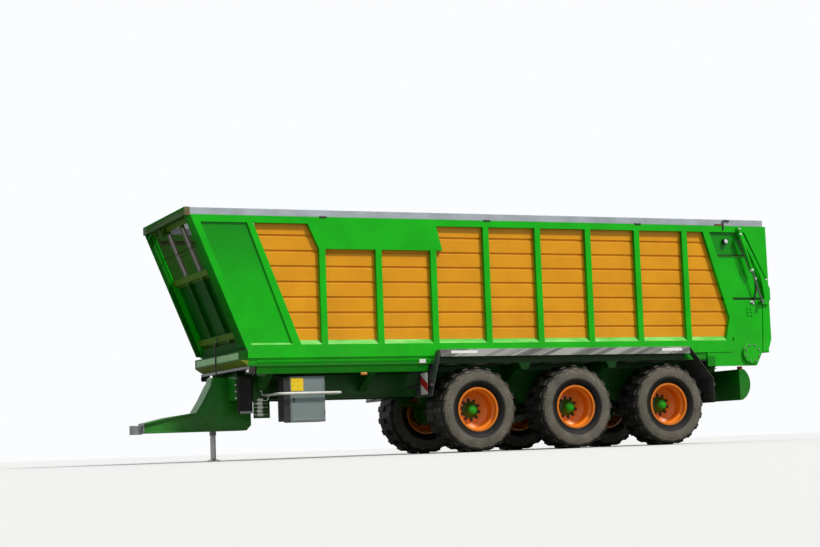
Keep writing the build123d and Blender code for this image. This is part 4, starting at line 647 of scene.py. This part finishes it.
# Painted shade: the posts' paint is a dark copy of the wall green, for their faces turned forward into
# shade.
post_shaded_green = paint("front_post_shaded_paint", (0.002, 0.10, 0.002), (0.004, 0.16, 0.003), 0.5, 0.12, shine=0.08)
for side, side_name in SIDES:
    post = side_block(side, (0.001, 1.15, 1.74), (0.085, 1.249, 3.80))
    select_only(post)
    bpy.ops.object.mode_set(mode="EDIT")
    bpy.ops.mesh.select_mode(type="EDGE")
    bpy.ops.mesh.select_all(action="DESELECT")
    bpy.ops.object.mode_set(mode="OBJECT")
    for edge in post.data.edges:
        ends = [post.data.vertices[index].co for index in edge.vertices]
        edge.select = all(end.x > 0.08 and abs(end.y) > 1.2 for end in ends)
    bpy.ops.object.mode_set(mode="EDIT")
    bpy.ops.transform.translate(value=(0, -side * 0.045, 0))
    bpy.ops.mesh.select_mode(type="FACE")
    pick(post, lambda middle, normal: normal.x > 0.6)
    step(0.014, (-0.008, 0, 0))
    soften(post, 0.004)
    post.data.transform(lean_forward)
    keep(post, f"front_post_{side_name}", post_shaded_green)


def cap_stains(tree, along, across, height, colour):
    """Olive front, rusty ends."""
    colour = blend(tree, maths(tree, "LESS_THAN", height, 3.894), colour, (0.030, 0.085, 0.006))
    return blend(tree, maths(tree, "GREATER_THAN", across, 1.238), colour, (0.16, 0.13, 0.07))


cap_green = paint("head_cap_paint", (0.006, 0.22, 0.005), (0.012, 0.32, 0.008), 0.6, 0.1,
                  patch=cap_stains, shine=0.05)
head_cap = block((4.955, -1.246, 3.785), (5.045, 1.246, 3.919))
pick(head_cap, toward("X"))
step(0.014, (-0.022, 0, 0))
pick(head_cap, lambda middle, normal: normal.z < -0.9 and middle.z < 3.79)
step(0.014, (0, 0, 0.020))
soften(head_cap, 0.003)
keep(head_cap, "headboard_cap", cap_green)

# Folded bracket under that channel, turned down with the headboard, and the thin pipe that
# comes down from the low beam to the bar under the apron.
BRACKET_PLACE = (4.955, -0.52, 3.735)
BRACKET_LEAN = math.radians(22)
bracket = block((-0.10, -0.17, -0.065), (0.035, 0.17, 0.065))
pick(bracket, toward("X"))
step(0.016, (-0.03, 0, 0))
pick(bracket, lambda middle, normal: abs(normal.y) > 0.9 and abs(middle.y) > 0.19)
inset(0.012, -0.006)
soften(bracket, 0.004)
bracket.data.transform(Matrix.Translation(BRACKET_PLACE) @ Matrix.Rotation(BRACKET_LEAN, 4, "Y"))
keep(bracket, "headboard_bracket", cap_green)
tube([(4.172, -0.03, 2.02), (4.178, -0.03, 1.96), (4.216, -0.03, 1.86), (4.218, -0.03, 1.60),
      (4.218, -0.035, 1.44), (4.19, -0.04, 1.36), (4.06, -0.05, 1.34)],
     0.011, "headboard_pipe", dark_steel)

# Bare plate across the apron under the headboard: pressed sheet with a raised middle, a little
# paler than the walls.
apron_pale = paint("apron_pale_paint", (0.09, 0.36, 0.06), (0.15, 0.44, 0.10), 0.34, 0.25)
apron_plate = block((4.1995, -1.16, 1.562), (4.205, 1.16, 1.668))
press(apron_plate, "X", 1, [(0.010, 0.003)], 0.0015)
keep(apron_plate, "apron_plate", apron_pale)

# Chassis, drawbar, axle beams, arms and bumper: a darker green enamel over heavy welded steel, darkened
# further as painted shade under the body, and a little brighter on the drawbar and the bumper as painted
# light for the bumper's sunlit end.
# Painted shade: the chassis green is set darker than its paint, for the shade under the body.
chassis_shaded_green = paint("chassis_shaded_green_paint", (0.001, 0.060, 0.002), (0.002, 0.110, 0.003), 0.42, 0.22, 1.4)
finish_nodes(chassis_shaded_green, "chassis_frame", "axle_beams", "suspension_arms", "knuckle_front_left",
             "knuckle_front_right", "knuckle_rear_left", "knuckle_rear_right")
# Painted light: a brighter copy of the chassis green, for the sunlit end of the bumper.
drawbar_lit_green = paint("drawbar_lit_green_paint", (0.001, 0.110, 0.002), (0.003, 0.190, 0.004), 0.38, 0.2, 1.2)
finish_nodes(drawbar_lit_green, "drawbar", "rear_bumper")

# Bearers: folded steel strips that lie on the two rails and carry the body's cross beams, with
# a shallow channel along their outer faces.
RAIL_TOP_Z = 1.3305
BEARER_TOP_Z = 1.448
for side, side_name in SIDES:
    bearer = side_block(side, (-4.30, 0.405, RAIL_TOP_Z), (3.74, 0.475, BEARER_TOP_Z))
    press(bearer, "Y", side, [(0.010, -0.012)], 0.002)
    keep(bearer, f"rail_bearer_{side_name}", chassis_shaded_green)

# Bolts that hold the drawbar's column to the chassis on both sides: a row of four bare hexagon
# heads on washers.
COLUMN_FACE_Y = 0.5035
column_bolt = hex_bolt(0.017, 0.014)
column_places = both_sides(*[(4.056, COLUMN_FACE_Y, bolt_z) for bolt_z in (0.985, 1.09, 1.195, 1.30)])
scatter(column_bolt, column_places, "drawbar_column_bolts", bare_steel)
discard(column_bolt)

# Steel that stays bare, zinc-coated or blackened: floor chains, shafts, jack, cup, cylinder rods
# and links.
finish_nodes(dark_steel, "suspension_cylinders", "track_rod_front", "track_rod_rear")
finish_nodes(bare_steel, "floor_conveyor", "jack_leg")
# Painted shade: the cylinder rods are a dark chrome, much darker than bare chrome, for the shade they stand
# in.
shaded_rod_chrome = brushed("shaded_rod_chrome", (0.16, 0.17, 0.16), 0.25, (9.0, 9.0, 9.0), 0.9)
finish_nodes(shaded_rod_chrome, "tailgate_rod_left", "tailgate_rod_right")
worn_zinc = brushed("worn_zinc", (0.30, 0.31, 0.31), 0.5, (4.0, 4.0, 4.0), 0.6)
finish_nodes(worn_zinc, "body_floor", "coupling_head", "jack_tube")

# Brake chambers on the axle beams: two pressed steel cups clamped by a band, with a pin to the
# lever, two on each axle.
AXLES = (("front", 0.21), ("middle", -1.6), ("rear", -3.41))
chamber = round_blank((0, 0, 0), 0.078, 0.06, "X")
pick(chamber, toward("X"))
step(0.004, (0.055, 0, 0))
bpy.ops.transform.resize(value=(1, 0.72, 0.72))
press(chamber, "X", -1, [(0.010, 0.030), (0.042, 0.025)], 0.005, 2)
chamber_places = [Matrix.Translation((axle_x + 0.155, chamber_y, 0.705))
                  for axle_name, axle_x in AXLES for chamber_y in (-0.24, 0.24)]
scatter(chamber, chamber_places, "brake_chambers", dark_steel)
discard(chamber)

# Wheels: deep-dish rims painted orange round a green hub, each held by ten black nuts on studs,
# with a bolted green cap over the bearing. A group gives a point's place on its wheel.
AXLE_HEIGHT = 0.69
AXLE_PITCH = 1.81
HUB_SPIGOT_RADIUS = 0.1425
HUB_DRUM_RADIUS = 0.2065
NUT_FACE_Y, NUT_CIRCLE = 0.993, 0.1675
CAP_FACE_Y, CAP_CIRCLE, CAP_TIP_Y = 1.0195, 0.112, 1.120
polar_group, polar_in, polar_out = new_group(
    "wheel place", {"Height": AXLE_HEIGHT},
    {"Radius": "NodeSocketFloat", "Turn": "NodeSocketFloat", "Across": "NodeSocketFloat"})
_, polar_x, polar_across, polar_z = object_place(polar_group)
ahead = maths(polar_group, "WRAP", maths(polar_group, "SUBTRACT", polar_x, AXLES[0][1]),
              AXLE_PITCH / 2, -AXLE_PITCH / 2)
above = maths(polar_group, "SUBTRACT", polar_z, polar_in["Height"])
square = maths(polar_group, "ADD", times(polar_group, ahead, ahead), times(polar_group, above, above))
feed(polar_group, polar_out, {
    "Radius": maths(polar_group, "SQRT", square), "Turn": maths(polar_group, "ARCTAN2", above, ahead),
    "Across": polar_across})


def green_hub(tree, along, across, height, colour):
    """A deeper rim flange, and the hub inside the rim's disc, which keeps the chassis' green."""
    polar = use_group(tree, polar_group)
    radius = polar["Radius"]
    spigot = maths(tree, "LESS_THAN", radius, HUB_SPIGOT_RADIUS)
    drum = times(tree, maths(tree, "LESS_THAN", radius, HUB_DRUM_RADIUS),
                 maths(tree, "LESS_THAN", polar["Across"], 0.977))
    colour = blend(tree, ramp(tree, radius, 0.325, 0.335), colour, (0.60, 0.150, 0.002))
    inner = blend(tree, between(tree, radius, 0.0, 0.083), (0.008, 0.10, 0.003), (0.012, 0.32, 0.005))
    return blend(tree, maths(tree, "MAXIMUM", spigot, drum), colour, inner)


rim_orange = paint("rim_orange_paint", (0.70, 0.160, 0.001), (0.90, 0.240, 0.001), 0.26, 0.05, 1.2,
                   patch=green_hub, shine=0.3)
hub_green = paint("hub_green_paint", (0.006, 0.27, 0.004), (0.010, 0.37, 0.005), 0.38, 0.10, 1.2,
                  shine=0.12)
wheel_nut = hex_bolt(0.0225, 0.020)
pick(wheel_nut, lambda middle, normal: normal.y > 0.9 and middle.y > 0.018)
step(0.006, (0, 0.014, 0))
clear_selection()
cap_bolt = hex_bolt(0.0085, 0.007)
cap_dome = round_blank((0, 0.003, 0), 0.072, 0.008, "Y", 32)
press(cap_dome, "Y", 1, [(0.010, 0.010), (0.018, 0.006)], 0.003, 2)
for axle_name, axle_x in AXLES:
    for side, side_name in SIDES:
        place_name = f"{axle_name}_{side_name}"
        wheel = f"wheel_{place_name}"
        finish_nodes(rim_orange, wheel)
        nut_places = ring(side, (axle_x, NUT_FACE_Y, AXLE_HEIGHT), NUT_CIRCLE, 10, 11, turned=True)
        scatter(wheel_nut, nut_places, f"wheel_nuts_{place_name}", dark_steel, wheel)
        bolt_places = ring(side, (axle_x, CAP_FACE_Y, AXLE_HEIGHT), CAP_CIRCLE, 8)
        scatter(cap_bolt, bolt_places, f"hub_bolts_{place_name}", hub_green, wheel)
        scatter(cap_dome, [on_side(side, axle_x, CAP_TIP_Y, AXLE_HEIGHT)],
                f"hub_cap_{place_name}", hub_green, wheel)
discard(wheel_nut, cap_bolt, cap_dome)

# Tyres: wide flotation tyres whose lugs are moulded in two rows. The flank under the lugs is
# ribbed and dusted grey, the flank near the rim is smooth and dark, and lug tips are rubbed pale.
TYRE_MIDDLE_Y = 1.05
LUG_COUNT = 20
FLANK_RIBS = 120


def tyre_finish():
    """Black rubber: dusted and ribbed flanks, a dark tread darkened further as painted shade, pale lug
    tips.
    """
    finish, tree, shader = new_finish("tyre_rubber")
    place, _, across, _ = object_place(tree)
    polar = use_group(tree, polar_group)
    radius, turn = polar["Radius"], polar["Turn"]
    grit = noise(tree, place, 24.0, 6.0, 0.7)
    clouds = maths(tree, "ADD", times(tree, grit, 0.6), noise(tree, place, 3.0, 4.0, 0.6))
    off_middle = maths(tree, "ABSOLUTE", maths(tree, "SUBTRACT", across, TYRE_MIDDLE_Y))
    dust = times(tree, between(tree, radius, 0.468, 0.70, 0.016),
                 ramp(tree, clouds, 0.60, 0.98, 0.45, 1.0), ramp(tree, off_middle, 0.280, 0.305))
    colour = blend(tree, dust, (0.011, 0.012, 0.011), (0.165, 0.148, 0.120))
    # Painted shade, partly: the tread between the shoulders is painted darker than the rubber, as dark
    # rubber and as the shade on its forward faces.
    depth = times(tree, ramp(tree, off_middle, 0.305, 0.285), ramp(tree, radius, 0.684, 0.670), 0.9)
    colour = blend(tree, depth, colour, (0.005, 0.005, 0.004))
    lug_tip = times(tree, ramp(tree, radius, 0.672, 0.687), ramp(tree, clouds, 0.55, 0.90, 0.55, 1.0),
                    ramp(tree, off_middle, 0.24, 0.30, 0.10, 1.0))
    colour = blend(tree, lug_tip, colour, (0.19, 0.170, 0.140))
    phase = times(tree, maths(tree, "COSINE", times(tree, turn, LUG_COUNT)),
                  maths(tree, "SIGN", split(tree, place)["Y"]))
    lug_gap = times(tree, ramp(tree, phase, 0.30, 0.05), between(tree, radius, 0.622, 0.676, 0.006))
    colour = blend(tree, times(tree, lug_gap, 0.8), colour, (0.030, 0.028, 0.025))
    relief = times(tree, maths(tree, "SINE", times(tree, turn, FLANK_RIBS)),
                   between(tree, radius, 0.50, 0.60, 0.012), 0.35)
    for low, high, soft in ((0.484, 0.492, 0.003), (0.395, 0.403, 0.004), (0.612, 0.622, 0.004)):
        relief = maths(tree, "ADD", relief, between(tree, radius, low, high, soft))
    relief = maths(tree, "ADD", relief, times(tree, grit, 0.5))
    relief = maths(tree, "SUBTRACT", relief, times(tree, lug_gap, 1.5))
    fold = use_group(tree, edge_group, Radius=0.008)
    feed(tree, shader, {
        "Base Color": colour, "Specular IOR Level": 0.12,
        "Roughness": ramp(tree, dust, 0.0, 1.0, 0.55, 0.92),
        "Normal": bump(tree, relief, 0.6, 0.006, fold["Normal"]),
    })
    return finish


tyre_rubber = tyre_finish()
for axle_name, axle_x in AXLES:
    finish_nodes(tyre_rubber, f"tyre_{axle_name}_left", f"tyre_{axle_name}_right")


# Fenders: rolled zinc-coated sheet over the wheels, with long pale streaks painted on as reflections of the
# sky, a strip of white film near the lip's rear end and a painted white reflection near its front end, and
# end slopes painted dark and mottled as shade.
def fender_marks(tree, along, across, height, colour):
    """Pale diagonal streaks as painted reflections, slopes painted dark as shade, white film near the lip's
    rear end and a painted white reflection near its front end.
    """
    # Painted reflection: long pale diagonal streaks of sky on the zinc sheet.
    slanting = put(tree, "ShaderNodeCombineXYZ", {
        "X": maths(tree, "MULTIPLY_ADD", height, 2.6, along), "Y": times(tree, across, 0.15)})
    painted_reflection_streak = ramp(tree, noise(tree, slanting.outputs[0], 1.9, 4.0, 0.6), 0.46, 0.54)
    colour = blend(tree, painted_reflection_streak, colour, (0.38, 0.375, 0.36))
    # Painted shade: both end slopes are painted dark blue-grey and mottled, the same zinc in shade.
    slopes = maths(tree, "MAXIMUM", maths(tree, "GREATER_THAN", along, 0.897),
                   maths(tree, "LESS_THAN", along, -3.836))
    painted_shade_mask = ramp(tree, noise(tree, object_vector(tree), 7.0, 5.0, 0.65), 0.35, 0.70)
    painted_slope_shade = blend(tree, painted_shade_mask, (0.045, 0.050, 0.056), (0.11, 0.105, 0.095))
    colour = blend(tree, slopes, colour, painted_slope_shade)
    # White film near the lip's rear end, and a painted white reflection near its front end.
    lip = times(tree, between(tree, height, 1.60, 1.645), maths(tree, "GREATER_THAN", across, 1.41))
    film_and_painted_reflection = maths(tree, "MAXIMUM", between(tree, along, -3.67, -3.27), between(tree, along, 0.23, 0.70))
    return blend(tree, times(tree, lip, film_and_painted_reflection), colour, (0.80, 0.80, 0.78))


fender_zinc = brushed("fender_zinc", (0.150, 0.150, 0.145), 0.45, (3.0, 3.0, 3.0), 0.35, fender_marks)
finish_nodes(fender_zinc, "fenders")


# Marker boards before the fenders: folded sheet on two arms from the slope, covered with white
# film and one slanting red band, so that they show from the front.
def red_band(tree, along, across, height, colour):
    """One slanting red band over white film."""
    slant = maths(tree, "ADD", height, times(tree, across, 0.55))
    return blend(tree, between(tree, slant, 1.70, 1.845, 0.002), colour, (0.42, 0.006, 0.010))


board_film = paint("marker_board_film", (0.62, 0.60, 0.58), (0.74, 0.72, 0.70), 0.35, 0.3, patch=red_band)
for side, side_name in SIDES:
    board = side_block(side, (1.082, 1.03, 0.955), (1.089, 1.29, 1.305))
    pick(board, toward("X"))
    step(0.008, (0.003, 0, 0))
    press(board, "X", -1, [(0.020, 0.004)], 0.0015)
    keep(board, f"marker_board_{side_name}", board_film)
    for arm_name, arm_z, foot_x in (("high", 1.25, 0.985), ("low", 1.01, 1.047)):
        arm = side_block(side, (foot_x, 1.14, arm_z - 0.018), (1.083, 1.18, arm_z + 0.018))
        pick(arm, either_way("Z"))
        inset(0.006, -0.005)
        soften(arm, 0.002, 1)
        keep(arm, f"marker_arm_{arm_name}_{side_name}", dark_steel)


# Mud flaps: thick black rubber sheets behind the wheels, dusty in patches, with fine pores and
# slightly rounded edges.
def rubber(name, clean, dusty, dust_low, dust_high):
    """Moulded rubber with pores, dusted in patches."""
    finish, tree, shader = new_finish(name)
    place = object_vector(tree)
    grit = noise(tree, place, 26.0, 6.0, 0.7)
    patches = noise(tree, place, 3.4, 4.0)
    dust = ramp(tree, maths(tree, "ADD", times(tree, grit, 0.5), patches), dust_low, dust_high)
    fold = use_group(tree, edge_group, Radius=0.005)
    feed(tree, shader, {
        "Base Color": blend(tree, dust, clean, dusty), "Specular IOR Level": 0.3,
        "Roughness": ramp(tree, grit, 0.3, 0.7, 0.72, 0.90),
        "Normal": bump(tree, grit, 0.25, 0.004, fold["Normal"]),
    })
    return finish


flap_rubber = rubber("flap_rubber", (0.020, 0.020, 0.020), (0.10, 0.09, 0.075), 0.6, 1.0)
finish_nodes(flap_rubber, "mud_flaps")

# Rear side plates: a fold under the upper seam in the paler apron paint as a painted highlight, two groups
# of painted bolts that hold the lock inside, and a dark hose between two bright elbows.
BELT_FACE_Y = 1.2435
for side, side_name in SIDES:
    fold = side_block(side, (-5.19, 1.222, 3.258), (-4.632, 1.246, 3.272))
    pick(fold, toward("Z", -1))
    bpy.ops.transform.resize(value=(1, 0.3, 1), center_override=(-4.9, side * 1.222, 3.258))
    soften(fold, 0.003)
    # Painted highlight: the fold takes the paler apron paint so that it shows as a bright line.
    keep(fold, f"rear_plate_fold_{side_name}", apron_pale)
plate_bolt = hex_bolt(0.015, 0.010)
bolt_spots = []
for bolt_x, bolt_y, bolt_z, run_x, run_z in (
    (-5.075, WALL_FACE_Y, 3.035, -0.010, -0.050), (-5.150, WALL_FACE_Y, 3.030, -0.010, -0.050),
    (-5.175, BELT_FACE_Y, 2.340, -0.007, -0.060), (-5.250, BELT_FACE_Y, 2.335, -0.007, -0.060),
):
    bolt_spots += [(bolt_x + run_x * index, bolt_y, bolt_z + run_z * index) for index in range(3)]
scatter(plate_bolt, both_sides(*bolt_spots), "rear_plate_bolts", body_green)
bright_steel = brushed("bright_steel", (0.70, 0.70, 0.69), 0.30, (9.0, 9.0, 9.0), 0.8)
elbow = round_blank((0, 0.008, 0), 0.021, 0.016, "Y", 6)
pick(elbow, toward("Y"))
step(0.005, (0, 0.014, 0))
pick(elbow, lambda middle, normal: normal.z < -0.8 and middle.y > 0.017)
draw_out((0, 0, -0.035))
soften(elbow, 0.002, 1)
ELBOW_SPOTS = ((-5.395, 1.222, 2.875, 0), (-5.305, 1.238, 2.425, math.pi), (-5.255, 1.238, 2.452, 1.9))
elbow_places = [on_side(side, x, y, z) @ Matrix.Rotation(turn, 4, "Y")
                for side in (1, -1) for x, y, z, turn in ELBOW_SPOTS]
scatter(elbow, elbow_places, "rear_plate_elbows", bright_steel)
for side, side_name in SIDES:
    tube([(-5.395, side * 1.241, 2.850), (-5.400, side * 1.243, 2.76), (-5.392, side * 1.246, 2.65),
          (-5.345, side * 1.250, 2.53), (-5.308, side * 1.257, 2.45)],
         0.014, f"rear_plate_hose_{side_name}", flap_rubber)

# Pins of the tailgate and its cylinders, each closed by a washer and bolt, and the bolts of the
# floor chain's drive flange.
GATE_PIN = (-5.066, 1.3015, 3.745)
BARREL_PIN = (-5.045, 1.3635, 3.640)
pin_bolt = hex_bolt(0.020, 0.012)
scatter(pin_bolt, both_sides(GATE_PIN, BARREL_PIN), "gate_pin_bolts", bright_steel)
DRIVE_X, DRIVE_Z, DRIVE_CIRCLE = -5.2, 1.55, 0.145
flange_places = [place for side, face_y in ((1, 1.2935), (-1, 1.2775))
                 for place in ring(side, (DRIVE_X, face_y, DRIVE_Z), DRIVE_CIRCLE, 8, 22.5)]
scatter(plate_bolt, flange_places, "drive_flange_bolts", worn_zinc)
discard(plate_bolt, elbow, pin_bolt)

# Tailgate cylinders: a gland nut at the barrel's mouth, and a short steel pipe that feeds it
# along the barrel from a port at the pin's end.
BARREL_Y = 1.33
PIPE_Y = 1.342
BARREL_START = Vector((BARREL_PIN[0], 0, BARREL_PIN[2]))
BARREL_RUN = Vector((-0.395, 0, -1.190)).normalized()
BARREL_SIDE = Vector((-BARREL_RUN.z, 0, BARREL_RUN.x))
BARREL_LENGTH = 0.664
barrel_lean = BARREL_RUN.to_track_quat("Z", "Y").to_matrix().to_4x4()
for side, side_name in SIDES:
    barrel = f"tailgate_cylinder_{side_name}"
    gland = round_blank((0, 0, 0), 0.0335, 0.040, "Z", 32)
    pick(gland, lambda middle, normal: abs(normal.z) < 0.2)
    bpy.ops.transform.resize(value=(1.22, 1.22, 1))
    soften(gland, 0.003)
    end = BARREL_START + BARREL_RUN * BARREL_LENGTH + Vector((0, side * BARREL_Y, 0))
    gland.data.transform(Matrix.Translation(end) @ barrel_lean)
    keep(gland, f"cylinder_gland_{side_name}", bright_steel, barrel)
    line_points = []
    for reach, off in ((0.09, 0.030), (0.09, 0.056), (0.14, 0.060), (0.40, 0.060), (0.58, 0.060),
                       (0.635, 0.058), (0.64, 0.034)):
        point = BARREL_START + BARREL_RUN * reach + BARREL_SIDE * off
        line_points.append((point.x, side * PIPE_Y, point.z))
    tube(line_points, 0.008, f"cylinder_pipe_{side_name}", dark_steel, barrel)

# Work lamps: a round steel bezel and a clear stepped lens on the housing at each rear corner, and
# a smaller pair at the ends of the bar under the apron.
bezel = round_blank((0, 0.004, 0), 0.036, 0.010, "Y", 28)
press(bezel, "Y", 1, [(0.007, -0.004)], 0.0015)
glass = round_blank((0, 0.006, 0), 0.029, 0.006, "Y", 28)
pick(glass, toward("Y"))
inset(0.010, 0.003)
inset(0.010, 0.001)
lamp_places = both_sides((-4.78, 1.280, 3.52))
lamp_places += [place @ Matrix.Scale(0.62, 4) for place in both_sides((4.09, 1.230, 1.375))]
lamp_black = rubber("lamp_black_housing", (0.012, 0.012, 0.013), (0.05, 0.045, 0.04), 0.7, 1.1)
scatter(bezel, lamp_places, "lamp_bezels", bright_steel)
scatter(glass, lamp_places, "lamp_glasses", lens_clear)
discard(bezel, glass)


# Lamp housings and the bar under the apron: black moulded boxes, red lenses at the back and a
# grey steel bar in front.
def lamp_parts(tree, along, across, height, colour):
    """Red at the back, a grey bar in front, black everywhere else."""
    bar = times(tree, between(tree, along, 4.05, 4.108), between(tree, height, 1.405, 1.455))
    colour = blend(tree, bar, colour, (0.15, 0.16, 0.17))
    return blend(tree, maths(tree, "LESS_THAN", along, -4.9), colour, (0.50, 0.010, 0.008))


lamp_boxes = paint("lamp_boxes", (0.010, 0.010, 0.011), (0.020, 0.020, 0.021), 0.34, 0.25, patch=lamp_parts)
finish_nodes(lamp_boxes, "lamps")

# Rear bumper: rubber buffers at its foot, a blank number plate of white sheet and two moulded
# red triangles.
bumper_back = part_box("rear_bumper")[0][0]
buffer_blank = round_blank((0, 0, 0), 0.040, 0.030, "X", 20)
pick(buffer_blank, toward("X", -1))
draw_out((-0.035, 0, 0))
bpy.ops.transform.resize(value=(1, 0.72, 0.72))
soften(buffer_blank, 0.004)
buffer_places = [Matrix.Translation((bumper_back + 0.012, y, 0.80)) for y in (0.95, -0.95)]
scatter(buffer_blank, buffer_places, "bumper_buffers", flap_rubber)
number_plate = block((bumper_back - 0.008, -0.27, 0.93), (bumper_back + 0.004, 0.27, 1.05))
press(number_plate, "X", -1, [(0.006, -0.002)], 0.0015)
keep(number_plate, "number_plate_blank", plate_white)
triangle = round_blank((0, 0, 0), 0.088, 0.010, "X", 3)
press(triangle, "X", -1, [(0.012, -0.003)], 0.002, 2)
triangle.data.transform(Matrix.Rotation(math.radians(90), 4, "X"))
triangle_places = [Matrix.Translation((bumper_back - 0.003, y, 0.98)) for y in (0.72, -0.72)]
scatter(triangle, triangle_places, "rear_triangles", lens_red)
discard(buffer_blank, triangle)


# Control box: a grey painted steel cabinet on brackets. Its door is a folded sheet with a raised
# edge, on two hinges, with a turning latch and a bare yellow label; its front end is painted near black as
# shade.
def painted_front_shade(tree, along, across, height, colour):
    """The front end of the cabinet, which faces forward, is painted near black as shade."""
    return blend(tree, maths(tree, "GREATER_THAN", along, 3.3615), colour, (0.020, 0.022, 0.025))


box_grey = paint("box_grey_paint", (0.150, 0.190, 0.195), (0.190, 0.235, 0.240), 0.40, 0.15,
                 patch=painted_front_shade)
finish_nodes(box_grey, "control_box")
door = block((2.792, 1.0985, 0.582), (3.348, 1.104, 1.273))
press(door, "Y", 1, [(0.014, 0.003), (0.020, -0.002)], 0.0015)
keep(door, "box_door", box_grey)
label_yellow = paint("label_yellow_film", (0.72, 0.47, 0.008), (0.82, 0.56, 0.012), 0.4, 0.15)
label = block((3.140, 1.1045, 1.055), (3.346, 1.1088, 1.262))
select_only(label)
bpy.ops.object.mode_set(mode="EDIT")
for cut_place, cut_normal in (((3.241, 1.1, 1.1), (1, 0, 0)), ((3.2, 1.1, 1.124), (0, 0, 1)),
                              ((3.2, 1.1, 1.193), (0, 0, 1))):
    bpy.ops.mesh.select_all(action="SELECT")
    bpy.ops.mesh.bisect(plane_co=cut_place, plane_no=cut_normal)
pick(label, toward("Y"))
bpy.ops.mesh.inset(thickness=0.003, depth=0.0008, use_individual=True)
keep(label, "box_label_blank", label_yellow)
hinge = round_blank((0, 0, 0), 0.009, 0.075, "Z", 16)
pick(hinge, either_way("Z"))
inset(0.003, 0.004)
hinge_places = [Matrix.Translation((2.789, 1.106, z)) for z in (0.72, 1.14)]
scatter(hinge, hinge_places, "box_hinges", worn_zinc)
discard(hinge)
latch = round_blank((3.30, 1.108, 0.93), 0.021, 0.010, "Y", 20)
pick(latch, toward("Y"))
step(0.006, (0, 0.005, 0))
pick(latch, lambda middle, normal: normal.z < -0.85 and middle.y > 1.113)
draw_out((0, 0, -0.035))
soften(latch, 0.0015, 1)
keep(latch, "box_latch", dark_steel)

# Guard bar: one bent steel tube before the cabinet, painted white and welded to the chassis at
# both ends.
bar_white = paint("bar_white_paint", (0.62, 0.62, 0.58), (0.74, 0.74, 0.70), 0.4, 0.4)
finish_nodes(bar_white, "guard_bar")

# Valve bank on the rail ahead of the cabinet: a stack of bright cast blocks on a painted plate,
# with spindles through it, a pipe that loops down from a port, and four couplings in dust caps.
VALVE_FOOT_Z = 0.715
VALVE_PITCH = 0.058
valve_back = block((3.50, 0.499, 0.66), (3.775, 0.509, 1.245))
press(valve_back, "Y", 1, [(0.012, 0.003)], 0.002)
keep(valve_back, "valve_plate", chassis_shaded_green)
cast_alloy = brushed("cast_alloy", (0.95, 0.94, 0.86), 0.5, (12.0, 12.0, 12.0), 0.0)
valve = block((-0.036, 0.0, -0.024), (0.036, 0.072, 0.024))
pick(valve, toward("Y"))
step(0.007, (0, 0.012, 0))
pick(valve, either_way("X"))
inset(0.012)
swell_out(0.012)
soften(valve, 0.0025)
valve_places = [Matrix.Translation((3.672 + 0.010 * (index % 2), 0.511, VALVE_FOOT_Z + VALVE_PITCH * index))
                for index in range(5)]
scatter(valve, valve_places, "valve_blocks", cast_alloy)
spindle = round_blank((0, 0.045, 0), 0.0065, 0.20, "X", 10)
pick(spindle, either_way("X"))
swell_out(0.004)
swell_out(0.012)
pick(spindle, lambda middle, normal: abs(middle.x) > 0.107)
bpy.ops.transform.resize(value=(1, 1.8, 1.8), center_override=(0, 0.045, 0))
spindle_places = [Matrix.Translation((3.672, 0.515, VALVE_FOOT_Z + VALVE_PITCH * index))
                  for index in (0, 2, 3)]
scatter(spindle, spindle_places, "valve_spindles", bright_steel)
coupling = round_blank((0, 0.020, 0), 0.017, 0.045, "Y", 12)
pick(coupling, toward("Y"))
step(0.003, (0, 0.010, 0))
bpy.ops.transform.resize(value=(1.35, 1, 1.35))
draw_out((0, 0.016, 0))
soften(coupling, 0.002, 1)
cap_red = rubber("dust_cap_red", (0.16, 0.030, 0.020), (0.12, 0.08, 0.05), 0.6, 1.0)
coupling_places = [Matrix.Translation((x, 0.510, z))
                   for x, z in ((3.535, 1.19), (3.585, 1.175), (3.635, 1.19), (3.685, 1.175))]
scatter(coupling, coupling_places, "valve_couplings", cap_red)
tube([(3.650, 0.56, 1.100), (3.650, 0.575, 1.060), (3.640, 0.585, 1.010), (3.570, 0.590, 1.035),
      (3.540, 0.590, 0.985), (3.565, 0.585, 0.930), (3.640, 0.560, 0.935)],
     0.0085, "valve_loop_pipe", bright_steel)
port = hex_bolt(0.026, 0.045)
scatter(port, [Matrix.Translation((3.650, 0.513, 1.100))], "valve_port", cast_alloy)
discard(valve, spindle, coupling, port)

# Moulded cover over the hydraulics between the valve bank and the drawbar's column: dark
# plastic with a raised border, and a zinc-coated lip at its foot.
cover = block((3.80, 0.499, 0.74), (4.03, 0.560, 1.325))
press(cover, "Y", 1, [(0.016, 0.008), (0.022, -0.005)], 0.006, 2)
keep(cover, "hydraulic_cover", lamp_black)
cover_lip = block((3.812, 0.558, 0.738), (4.016, 0.574, 0.776))
press(cover_lip, "Y", 1, [(0.006, -0.003)], 0.002)
keep(cover_lip, "hydraulic_cover_lip", worn_zinc)

# Jack: a crank on the tube's cap, bent from round bar, with a turning rubber grip that hangs
# beside the tube.
tube([(4.20, -0.33, 1.298), (4.20, -0.33, 1.345), (4.20, -0.345, 1.352), (4.20, -0.46, 1.352),
      (4.20, -0.475, 1.352), (4.20, -0.475, 1.335), (4.20, -0.475, 1.235)],
     0.009, "jack_crank", bright_steel)
grip = round_blank((4.20, -0.475, 1.275), 0.016, 0.085, "Z", 16)
pick(grip, either_way("Z"))
inset(0.004, 0.004)
soften(grip, 0.002, 1)
keep(grip, "jack_grip", flap_rubber)

bpy.context.scene.view_settings.view_transform = "Standard"
